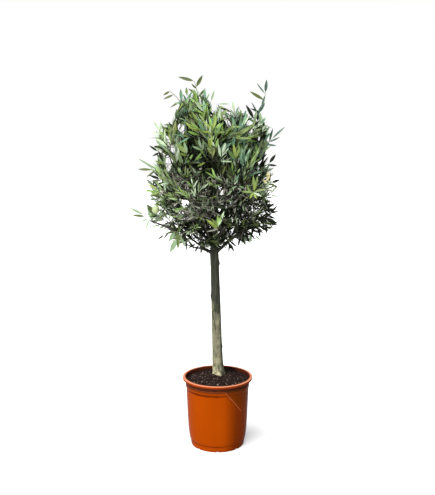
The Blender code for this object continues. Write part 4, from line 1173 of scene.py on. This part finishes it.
standouts = (
    ("moss", (-60, 10, 1190, -66, 4, 1235, -73, 2, 1268, -79, 2, 1288), (16, -134, 0, 1302.5, 125),
     (12, -50, 0, 1308, 135), (11, -89, 0, 1279, 70), (9, -100, -10, 1262, 100), (8, -40, -15, 1262, 95)),
    ("moss", (-110, -10, 1190, -132, -18, 1226, -160, -20, 1253), (12, -184, -20, 1239, 85),
     (10, -184, -20, 1226, 90), (7, -160, -30, 1200, 80)),
    ("grey", (-30, -25, 1185, -25, -30, 1205, -22, -30, 1218), (12, -11, -30, 1256, 85),
     (9, -46, -34, 1232, 80)),
    ("grey", (0, -30, 1180, 2, -30, 1198, 4, -30, 1210), (12, 41, -34, 1211, 60),
     (9, 47, -46, 1184, 105, "deep"), (10, 24, -46, 1194, 80, "olive")),
    ("shade", (118, -20, 1140, 138, -30, 1174, 156, -32, 1214, 161, -30, 1247), (16, 165, -30, 1291, 120),
     (15, 130, -34, 1279, 60), (13, 108, -34, 1252, 125, "moss"), (9, 112, -36, 1197, 95, "deep"),
     (8, 115, -40, 1218, 70), (10, 158, -34, 1238, 85), (9, 160, -40, 1214, 90), (7, 146, -40, 1206, 90)),
    ("silver", (-170, -60, 1078, -184, -65, 1104, -192, -66, 1120), (12, -212, -66, 1150, 85),
     (11, -188, -66, 1152, 75), (9, -218, -70, 1116, 80), (7, -176, -70, 1136, 90, "fresh"),
     (6, -204, -74, 1094, 85, "grey")),
    ("deep", (120, -30, 822, 145, -34, 824, 168, -34, 821), (12, 200, -34, 813, 105),
     (10, 187, -36, 842, 95), (9, 180, -40, 800, 100), (7, 164, -44, 800, 95), (9, 168, -44, 842, 90)),
    ("deep", (105, -40, 808, 128, -45, 798, 148, -45, 792), (12, 176, -45, 782, 100),
     (10, 148, -50, 758, 95), (8, 158, -55, 772, 95), (7, 118, -50, 764, 100)),
    ("shade", (140, -30, 1040, 162, -38, 1068, 184, -42, 1094), (12, 226, -45, 1136, 85),
     (10, 212, -40, 1100, 75), (10, 186, -50, 1130, 90), (9, 199, -50, 1072, 85)),
    ("deep", (140, -30, 985, 160, -34, 1000, 176, -34, 1012), (12, 198, -34, 1042, 125),
     (10, 203, -40, 1004, 95)),
    ("grey", (-170, -30, 960, -192, -32, 978, -212, -34, 994), (12, -272, -34, 1028, 75),
     (11, -245, -40, 1012, 90)),
    ("moss", (-175, -45, 965, -200, -44, 980, -222, -44, 990), (12, -271, -44, 993, 110),
     (10, -244, -50, 962, 90)),
    ("deep", (-170, -30, 1030, -188, -32, 1043, -203, -32, 1052), (12, -232, -34, 1072, 85),
     (10, -222, -36, 1036, 80)),
    ("grey", (-120, -80, 775, -160, -95, 790, -205, -100, 808, -246, -102, 842), (16, -297, -100, 868, 105),
     (15, -287, -108, 842, 110, "moss"), (14, -258, -106, 824, 75), (14, -240, -112, 796, 80),
     (13, -236, -100, 868, 95)),
    ("old", (-150, -55, 785, -168, -58, 778, -182, -60, 770), (12, -206, -60, 752, 70),
     (7, -186, -64, 756, 60)),
    ("grey", (-120, -70, 780, -130, -76, 766, -138, -80, 757), (12, -163, -80, 711, 210),
     (9, -135, -82, 724, 130, "olive"), (7, -108, -80, 728, 90)),
    ("deep", (140, -20, 925, 165, -28, 938, 188, -30, 947), (12, 213, -30, 956, 105),
     (10, 206, -36, 930, 90)),
    ("silver", (140, -30, 895, 162, -32, 900, 180, -32, 905), (12, 206, -34, 937, 80),
     (12, 211, -34, 897, 65)),
    ("deep", (130, -30, 835, 160, -34, 836, 182, -34, 840), (12, 210, -34, 850, 75), (11, 206, -34, 868, 80),
     (9, 200, -40, 822, 90)),
    ("deep", (120, -40, 800, 150, -42, 806, 174, -42, 808), (12, 207, -42, 803, 110),
     (10, 170, -46, 771, 100), (8, 186, -50, 786, 90)),
    ("grey", (90, -50, 785, 112, -52, 778, 128, -52, 769), (12, 150, -50, 746, 60), (9, 112, -56, 742, 110),
     (6, 90, -56, 734, 110)),
    ("deep", (30, -60, 765, 37, -62, 752, 42, -62, 742), (11, 38, -62, 706, 65), (12, 57, -62, 710, 95),
     (8, 12, -66, 728, 90)),
    ("old", (-30, -50, 728, -52, -56, 731, -74, -58, 738), (12, -100, -60, 724, 90),
     (10, -78, -62, 709, 85, "deep"), (8, -58, -62, 704, 85), (7, -32, -62, 706, 80, "deep"),
     (6, -62, -70, 722, 80)),
    ("deep", (60, -50, 765, 78, -54, 758, 96, -54, 756), (12, 120, -56, 748, 85),
     (10, 96, -60, 732, 90, "dull"), (8, 70, -60, 730, 85), (6, 94, -64, 744, 80)),
    ("deep", (-80, -60, 775, -95, -62, 760, -106, -62, 748), (12, -105, -62, 710, 65),
     (10, -78, -66, 720, 85)),
    ("teal", (-117, -10, 1184, -120, -30, 1207, -121, -35, 1220), (11, -123, -35, 1261, 121),
     (9, -146, -40, 1214, 74, "grey"), (7, -97, -35, 1231, 94), (5, -141, -50, 1189, 80, "olive")),
    ("teal", (-99, 0, 1191, -102, 0, 1221, -104, 0, 1240), (12, -106, 0, 1268, 102, "olive"),
     (9, -85, -10, 1254, 81), (7, -117, -10, 1244, 81)),
    ("fresh", (-84, -80, 1162, -86, -90, 1178, -87, -90, 1184), (10, -89, -95, 1215, 125),
     (7, -69, -100, 1202, 98, "teal"), (2, -108, -100, 1192, 98, "teal")),
    ("olive", (-37, -20, 1184, -40, -30, 1207, -42, -30, 1220), (11, -44, -30, 1263, 111, "teal"),
     (10, -27, -30, 1248, 74, "grey"), (8, -61, -30, 1241, 94)),
    ("olive", (-38, -100, 1152, -39, -115, 1167, -39, -120, 1173), (10, -39, -120, 1210, 143),
     (7, -19, -130, 1194, 104, "fresh"), (5, -60, -130, 1184, 97, "fresh")),
    ("olive", (-10, -100, 1142, -5, -110, 1153, 0, -115, 1161), (11, 33, -120, 1190, 117),
     (8, 6, -120, 1188, 104, "fresh"), (7, 29, -130, 1162, 91)),
    ("teal", (64, -40, 1143, 60, -50, 1166, 57, -50, 1184), (11, 50, -50, 1218, 100, "silver"),
     (9, 71, -50, 1202, 80), (8, 41, -60, 1193, 80, "silver"), (6, 45, -70, 1175, 93)),
    ("deep", (92, -50, 1136, 90, -60, 1149, 88, -60, 1159), (11, 67, -60, 1185, 80, "olive"),
     (10, 94, -60, 1190, 93, "teal"), (8, 110, -70, 1170, 86, "grey")),
    ("olive", (129, -30, 1137, 125, -40, 1150, 123, -40, 1160), (11, 96, -40, 1209, 134, "deep"),
     (9, 131, -45, 1189, 94, "grey"), (7, 102, -50, 1166, 94, "teal")),
    ("silver", (143, -50, 1126, 142, -55, 1140, 141, -60, 1149), (11, 143, -60, 1181, 133, "grey"),
     (8, 161, -60, 1164, 93, "teal"), (6, 121, -70, 1157, 93)),
    ("young", (-57, -140, 1096, -60, -155, 1107, -61, -160, 1114), (11, -104, -160, 1146, 128),
     (9, -87, -155, 1153, 103, "olive"), (7, -97, -170, 1117, 96, "fresh")),
    ("olive", (-96, -150, 1032, -98, -165, 1042, -99, -170, 1048), (12, -132, -170, 1078, 160),
     (9, -107, -170, 1085, 115, "grey"), (7, -126, -180, 1049, 102)),
    ("olive", (-182, -50, 1047, -183, -60, 1063, -185, -60, 1075), (12, -194, -60, 1114, 107),
     (10, -209, -60, 1092, 80, "silver"), (8, -174, -60, 1097, 87, "grey"),
     (6, -212, -70, 1067, 74, "silver")),
    ("deep", (-177, -60, 1003, -179, -70, 1012, -183, -70, 1019), (11, -198, -70, 1055, 107),
     (7, -210, -80, 1022, 80, "olive")),
    ("fresh", (-13, -140, 1099, -14, -160, 1112, -16, -170, 1121), (11, -46, -175, 1150, 102, "young"),
     (11, -27, -170, 1167, 108), (11, -3, -170, 1165, 102, "young"), (8, 18, -175, 1145, 102),
     (8, -49, -185, 1118, 95, "young"), (8, 22, -185, 1116, 95, "olive")),
    ("young", (59, -140, 1019, 58, -155, 1029, 57, -160, 1036), (11, 52, -165, 1078, 122),
     (9, 71, -165, 1068, 109, "olive"), (8, 35, -170, 1053, 96, "olive")),
    ("silver", (-3, -150, 1055, -6, -165, 1063, -8, -170, 1068), (12, -28, -170, 1098, 83),
     (8, 2, -170, 1096, 96, "fresh"), (7, -35, -180, 1064, 83, "grey")),
    ("fresh", (-1, -150, 787, 1, -165, 801, 2, -172, 811), (12, 22, -178, 863, 104, "silver"),
     (12, 13, -176, 851, 91), (12, 1, -176, 851, 91), (12, -19, -180, 838, 91, "olive"),
     (11, -37, -182, 836, 97, "young"), (9, -26, -186, 826, 84, "young"), (8, -36, -180, 796, 58, "dry")),
    ("olive", (71, -155, 880, 94, -170, 904, 118, -180, 926), (12, 114, -185, 979, 98),
     (12, 129, -183, 976, 98), (12, 122, -190, 960, 78, "young"), (12, 155, -180, 934, 85, "olive"),
     (11, 143, -185, 911, 72, "silver"), (11, 103, -185, 902, 72, "young"), (11, 75, -185, 926, 85),
     (11, 126, -185, 902, 79, "young"), (10, 93, -185, 949, 79, "olive")),
    ("deep", (-167, -60, 936, -184, -64, 953, -200, -66, 963), (10, -231, -66, 973, 110),
     (9, -227, -70, 953, 105, "dull"), (7, -217, -72, 937, 95), (9, -207, -60, 990, 90, "olive"),
     (6, -191, -60, 983, 90, "fresh")),
    ("young", (-160, -70, 903, -180, -74, 917, -200, -76, 927), (12, -237, -78, 944, 85),
     (10, -230, -80, 920, 80, "fresh"), (9, -220, -82, 907, 80), (9, -207, -70, 953, 75, "fresh"),
     (7, -180, -70, 947, 75, "silver")),
    ("grey", (-114, -70, 801, -131, -74, 791, -144, -76, 785), (12, -165, -80, 748, 150),
     (9, -136, -80, 740, 140, "olive"), (11, -175, -78, 776, 100, "dull"), (6, -104, -78, 742, 125, "deep"),
     (7, -151, -80, 759, 125, "dull"), (5, -83, -78, 750, 115, "deep"), (10, -154, -70, 815, 80, "grey")),
    ("deep", (70, -60, 779, 90, -64, 783, 111, -66, 790), (12, 145, -68, 777, 95), (10, 128, -70, 756, 90),
     (9, 107, -68, 746, 105), (12, 151, -66, 801, 80), (8, 87, -68, 742, 85)),
    ("deep", (129, -30, 828, 150, -34, 842, 166, -36, 856), (12, 197, -36, 876, 95), (12, 201, -38, 846, 95),
     (10, 187, -42, 825, 100), (10, 173, -34, 893, 100), (7, 170, -42, 808, 100),
     (6, 156, -34, 876, 95, "olive")),
    ("deep", (12, -40, 735, 36, -45, 746, 57, -48, 753), (8, 46, -50, 719, 85), (6, 26, -40, 766, 85),
     (10, 36, -44, 781, 90), (7, 53, -48, 764, 85, "dull"), (9, 67, -52, 726, 85), (11, 70, -46, 777, 90),
     (6, 9, -44, 767, 85)),
    ("deep", (0, -30, 748, 12, -36, 752, 22, -38, 758), (12, 44, -40, 744, 85), (10, 26, -44, 728, 85),
     (9, 12, -46, 730, 80), (8, 34, -44, 762, 80), (6, -4, -42, 728, 75)),
    ("deep", (-20, -30, 742, -32, -36, 744, -42, -38, 748), (12, -64, -40, 736, 85), (10, -50, -44, 724, 85),
     (9, -36, -44, 721, 80), (7, -26, -46, 726, 75)),
    ("old", (28, -70, 822, 40, -88, 830, 48, -100, 836), (12, 66, -104, 818, 85), (10, 46, -106, 806, 85),
     (8, 30, -104, 812, 80), (11, 64, -106, 842, 80)),
    ("cream", (148, -50, 932, 162, -60, 940, 172, -62, 949), (12, 170, -62, 986, 148),
     (12, 180, -60, 982, 67, "old"), (10, 152, -65, 960, 94), (11, 188, -55, 986, 41, "grey")),
    ("olive", (-182, -90, 827, -193, -95, 831, -203, -95, 837), (12, -237, -104, 878, 200, "dull"),
     (10, -236, -100, 846, 110, "deep"), (8, -188, -90, 864, 81, "grey"), (7, -218, -100, 815, 67, "grey")),
    ("grey", (-168, -70, 842, -179, -80, 860, -187, -80, 872), (12, -221, -80, 878, 74, "olive"),
     (10, -192, -80, 900, 87, "silver"), (8, -165, -80, 890, 87), (7, -198, -90, 846, 74, "deep")),
    ("silver", (-148, -60, 800, -158, -70, 815, -166, -75, 827), (12, -189, -80, 848, 74, "grey"),
     (10, -160, -80, 856, 81), (8, -187, -90, 808, 67, "deep")),
)


def vectorsFrom(numbers):
    # x, y, z in millimetres, one place after another
    metres = [number / 1000 for number in numbers]
    return [Vector(metres[at:at + 3]) for at in range(0, len(metres), 3)]


def joinToTwig(place):
    return min(twigPoints, key=lambda point: (point - place).length)


def smoothLine(line):
    # four steps from each place to the next, starting at the nearest grown twig
    corners = [joinToTwig(line[0])] + line
    fine = []
    for index in range(len(corners) - 1):
        first, second = corners[index], corners[index + 1]
        before, after = corners[max(index - 1, 0)], corners[min(index + 2, len(corners) - 1)]
        for step in range(4):
            share = step / 4
            bend = (first - before) * (share * (1 - share) ** 2)
            bend -= (after - second) * (share * share * (1 - share))
            fine.append(first.lerp(second, share * share * (3 - 2 * share)) + bend * 0.5)
    return fine + [corners[-1]]


def growStandout(kind, line, leaves, dice):
    fine = smoothLine(vectorsFrom(line))
    greenTwigs.add(fine, taper(0.0018, 0.0008, len(fine)), 6)
    for place, x, y, z, width, *own in leaves:
        reach = vectorsFrom((x, y, z))[0] - fine[place]
        facing = Vector((dice.uniform(-0.3, 0.3), -0.9, 0.45 + dice.uniform(-0.2, 0.2)))
        addLeaf(own[0] if own else kind, fine[place], reach.normalized(), facing, reach.length,
                width / 10000 * 0.92, dice.uniform(-0.04, 0.12))


stoutTwigs = (    # dark bare ends of boughs in mm, thick end first, and their radius there in m
    ((-140, -86, 788, -164, -96, 798, -192, -100, 810, -226, -100, 822.5), 0.0055),
    ((-166, -94, 797, -166, -90, 814, -172, -90, 820, -186, -92, 824), 0.0018),
    ((-24, -45, 708, -60, -58, 722, -90, -62, 730, -118, -66, 744), 0.004),
)

standoutDice = random.Random(31)
for kind, line, *leaves in standouts:
    growStandout(kind, line, leaves, standoutDice)
for line, radius in stoutTwigs:
    fine = smoothLine(vectorsFrom(line))
    barkTwigs.add(fine, taper(radius, radius * 0.4, len(fine)), 8)
print("standing-out shoots done")


# bare grey twigs that tangle in the lower middle of the crown

bareTwigs = {
    "count": 400,
    "heights": (0.75, 0.99),
    "shares": (0.5, 0.98),
    "leftFrom": -0.11,
    "rightFrom": 0.05,
    "fewBelow": 0.83,
    "leftOut": 0.6,    # share left out there
    "lengths": (0.035, 0.09),
    "leafLengths": (0.013, 0.028),
    "leafBreadth": (0.18, 0.28),
    "leafShare": 0.42,
    "radius": 0.0011,
    "tipRadius": 0.0005,
    "steps": 7,
    "wander": 0.16,
    "seed": 5,
}


def growBareTwigs():
    dice = random.Random(bareTwigs["seed"])
    steps = bareTwigs["steps"]
    low, high = bareTwigs["heights"]
    least, most = bareTwigs["shares"]
    made = 0
    while made < bareTwigs["count"]:
        start = dice.choice(twigPoints)
        if not (low < start.z < high and least < reachShare(start) < most):
            continue
        aside = start.x > bareTwigs["rightFrom"] or start.x < bareTwigs["leftFrom"]
        if (aside or start.z < bareTwigs["fewBelow"]) and dice.random() < bareTwigs["leftOut"]:
            continue    # fewer of them at the sides and at the bottom
        way = (jitter(dice, 1.0).normalized() + outwardAt(start) * 0.5).normalized()
        length = dice.uniform(*bareTwigs["lengths"])
        points = [start]
        for step in range(steps - 1):
            way = (way + jitter(dice, 1.0) * bareTwigs["wander"] * 2).normalized()
            points.append(points[-1] + way * length / (steps - 1))
        if reachShare(points[-1]) > 1.0 or any(inSkyGap(point) for point in points):
            continue
        if limbDistance(points[-1]) < growth["clearance"]:
            continue
        greyTwigs.add(points, taper(bareTwigs["radius"], bareTwigs["tipRadius"], steps), 5)
        made += 1
        for before, point in zip(points, points[1:]):
            if dice.random() < bareTwigs["leafShare"]:
                ahead = (point - before).normalized()
                side = turnedSide(ahead, dice.uniform(0.0, math.tau))
                facing = outwardAt(point) + jitter(dice, 0.8)
                length = dice.uniform(*bareTwigs["leafLengths"])
                width = length * dice.uniform(*bareTwigs["leafBreadth"])
                kind = dice.choice(("dry", "dry", "old", "grey"))
                direction = (ahead * 0.5 + side).normalized()
                addLeaf(kind, point, direction, facing, length, width, dice.uniform(-0.1, 0.4))


growBareTwigs()
print("bare twigs done")


# leaf shape, as shares of length and half width, with a shallow fold along the middle

leafShape = {
    "stations": (0.08, 0.24, 0.44, 0.66, 0.86),
    "breadths": (0.2, 0.76, 1.0, 0.84, 0.44),
    "fold": 0.26,
    "thickness": 0.00045,
}


def leafMesh(name, rows):
    rows = np.array(rows)
    root, direction, side, normal = rows[:, 0:3], rows[:, 3:6], rows[:, 6:9], rows[:, 9:12]
    length, width, arch = rows[:, 12:13], rows[:, 13:14], rows[:, 14:15]

    def place(along, across, rise):
        droop = -arch * length * along * along
        return root + direction * length * along + side * across + normal * (rise + droop)

    columns = [place(0.0, 0.0, 0.0)]
    for along, breadth in zip(leafShape["stations"], leafShape["breadths"]):
        half = width / 2 * breadth
        crease, skin = -half * leafShape["fold"], leafShape["thickness"] / 2
        columns += [place(along, -half, 0.0), place(along, 0.0, crease + skin),
                    place(along, half, 0.0), place(along, 0.0, crease - skin)]
    columns.append(place(1.0, 0.0, 0.0))
    tip = len(columns) - 1
    end = tip - 4
    topQuads, lowQuads = [], []
    for left in range(1, end, 4):
        top, right, low = left + 1, left + 2, left + 3
        topQuads += [(left, top, top + 4, left + 4), (top, right, right + 4, top + 4)]
        lowQuads += [(right, low, low + 4, right + 4), (low, left, left + 4, low + 4)]
    topFans = [(0, 2, 1), (0, 3, 2), (tip, end, end + 1), (tip, end + 1, end + 2)]
    lowFans = [(0, 4, 3), (0, 1, 4), (tip, end + 2, end + 3), (tip, end + 3, end)]
    offsets = (np.arange(len(rows)) * len(columns))[:, None, None]
    faceSets = [(np.array(faces) + offsets).reshape(-1, len(faces[0]))
                for faces in (topQuads, lowQuads, topFans, lowFans)]
    return meshFromArrays(name, np.stack(columns, axis=1).reshape(-1, 3), faceSets, (0, 1, 0, 1), 50)


def leafMaterial(name, colour, roughness, specular):
    # a plain colour with a slight clouding and a fine leathery surface
    material = newMaterial(name, roughness, specular)
    shades = [tuple(min(1.0, value * share) for value in colour) for share in (0.82, 1.16)]
    tinted = noiseIn(material, 45.0, 2.0, 0.5).stops((0.3, 0.7), shades)
    return dressMaterial(material, tinted, noiseIn(material, 700.0, 2.0, 0.5), 0.25, 0.0003)


def makeLeaves():
    masses = [f"foliage_{index + 1:02d}" for index in range(crown["masses"])]
    for kind, rows in leafStore.items():
        upper, under = leafKinds[kind]
        finishes = [leafMaterial(f"{kind}LeafTop", upper, 0.36, 0.04 if kind in ("deep", "old") else 0.24),
                    leafMaterial(f"{kind}LeafUnderside", under, 0.65, 0.06)]
        piece = addObject(f"leaves_{kind}", leafMesh(f"leaves_{kind}", rows))
        finishPiece(piece, finishes, masses if kind == "olive" else ())


makeLeaves()
print("leaves done")

twigColours = {    # streaks, bark and its palest spots
    "twigs_bark": ((0.009, 0.008, 0.006), (0.02, 0.019, 0.014), (0.05, 0.047, 0.037)),
    "twigs_green": ((0.05, 0.062, 0.03), (0.09, 0.11, 0.055), (0.15, 0.165, 0.105)),
    "twigs_bare": ((0.045, 0.041, 0.035), (0.105, 0.099, 0.085), (0.22, 0.212, 0.192)),
}

twigFinishes = {name: limbMaterial(name + "Finish", colours, 160.0) for name, colours in twigColours.items()}
for name, store in zip(twigColours, (barkTwigs, greenTwigs, greyTwigs)):
    finishPiece(addObject(name, store.mesh(name)), [twigFinishes[name]])
print("twigs done")


# the one olive, low on the left

olive = {
    "place": (-0.206, -0.108, 0.86),
    "radius": 0.0128,
    "length": 1.18,
    "lean": math.radians(14.0),
    "colour": (0.15, 0.19, 0.078),
    "blush": (0.225, 0.255, 0.14),
    "stalk": 0.0009,
}


def oliveMaterial():
    material = newMaterial("greenOliveSkin", 0.32, 0.5)
    skin = noiseIn(material, 60.0, 3.0).stops((0.35, 0.7), (olive["colour"], olive["blush"]))
    return dressMaterial(material, skin, noiseIn(material, 900.0, 1.0, 0.5), 0.15, 0.0003)


def makeOlive():
    shape = bmesh.new()
    bmesh.ops.create_uvsphere(shape, u_segments=28, v_segments=20, radius=olive["radius"])
    for vertex in shape.verts:
        high = vertex.co.z / olive["radius"]
        dimple = 0.0012 * math.exp(-((1.0 - high) / 0.05) ** 2)
        vertex.co.z = vertex.co.z * olive["length"] - dimple
        vertex.co.xy *= 1.0 - 0.05 * max(0.0, -high) ** 2
    turn = Matrix.Translation(olive["place"]) @ Matrix.Rotation(olive["lean"], 4, "Y")
    bmesh.ops.transform(shape, matrix=turn, verts=shape.verts)
    mesh = meshFromShape("olive_fruit", shape)
    mesh.shade_smooth()
    finishPiece(addObject("olive_fruit", mesh), [oliveMaterial()])
    lean = Vector((math.sin(olive["lean"]), 0.0, math.cos(olive["lean"])))
    crest = Vector(olive["place"]) + lean * (olive["radius"] * olive["length"] - 0.001)
    line = bendLine((crest, crest + up * 0.012, joinToTwig(crest + up * 0.02)), 8)
    stalk = TubeStore()
    stalk.add(line, [olive["stalk"]] * len(line), 6)
    piece = addObject("olive_stalk", stalk.mesh("olive_stalk"))
    finishPiece(piece, [twigFinishes["twigs_green"]])


makeOlive()
print("olive done")


# studio: plain pale floor, white surround, one large soft light high on the left

studio = {
    "floorSize": 40.0,
    "floorColour": (0.66, 0.66, 0.66),
    "wallColour": (1.0, 1.0, 1.0),
    "darkSide": (0.04, 0.04, 0.045),
    "darkFrom": (0.34, 0.58),    # how far to the right the surround starts to darken, and ends
    "ceilingColour": (0.3, 0.31, 0.33),
    "ceilingFrom": (0.19, 0.42),    # height on the surround where white walls turn to ceiling
    "keyFrom": (-0.42, -0.73, 0.94),
    "keySoftness": math.radians(92.0),
    "keyPower": 10.4,
    "cameraTilt": math.radians(81.6),
    "lens": 52.36,
    "sensor": 36.0,
}


def makeStudio():
    scene = bpy.context.scene
    mesh = bpy.data.meshes.new("studio_floor")
    half = studio["floorSize"] / 2
    corners = [(-half, -half, 0.0), (half, -half, 0.0), (half, half, 0.0), (-half, half, 0.0)]
    mesh.from_pydata(corners, [], [(0, 1, 2, 3)])
    material = newMaterial("paleFloor", 0.85, 0.2)
    shaderInputs(material)["Base Color"].default_value = (*studio["floorColour"], 1.0)
    mesh.materials.append(material)
    addObject("studio_floor", mesh)
    world = bpy.data.worlds.new("whiteSurround")
    scene.world = world
    world.use_nodes = True
    surround = world.node_tree
    x, y, z = splitPlace(Value(addNode(surround, "TexCoord").outputs["Generated"]))
    walls = z.stops(studio["ceilingFrom"], (studio["wallColour"], studio["ceilingColour"]))
    colour = walls.covered(x.range(*studio["darkFrom"]), studio["darkSide"])
    surround.links.new(colour.socket, surround.nodes["Background"].inputs["Color"])
    light = bpy.data.lights.new("key_light", "SUN")
    light.angle = studio["keySoftness"]
    light.energy = studio["keyPower"]
    key = addObject("key_light", light)
    key.location = studio["keyFrom"]
    key.rotation_euler = Vector(studio["keyFrom"]).to_track_quat("Z", "Y").to_euler()
    lens = bpy.data.cameras.new("viewer")
    lens.lens = studio["lens"]
    lens.sensor_width = studio["sensor"]
    camera = addObject("viewer", lens)
    camera.location = viewerEye
    camera.rotation_euler = (studio["cameraTilt"], 0.0, 0.0)
    scene.camera = camera
    scene.view_settings.view_transform = "Standard"


makeStudio()
print("studio done")
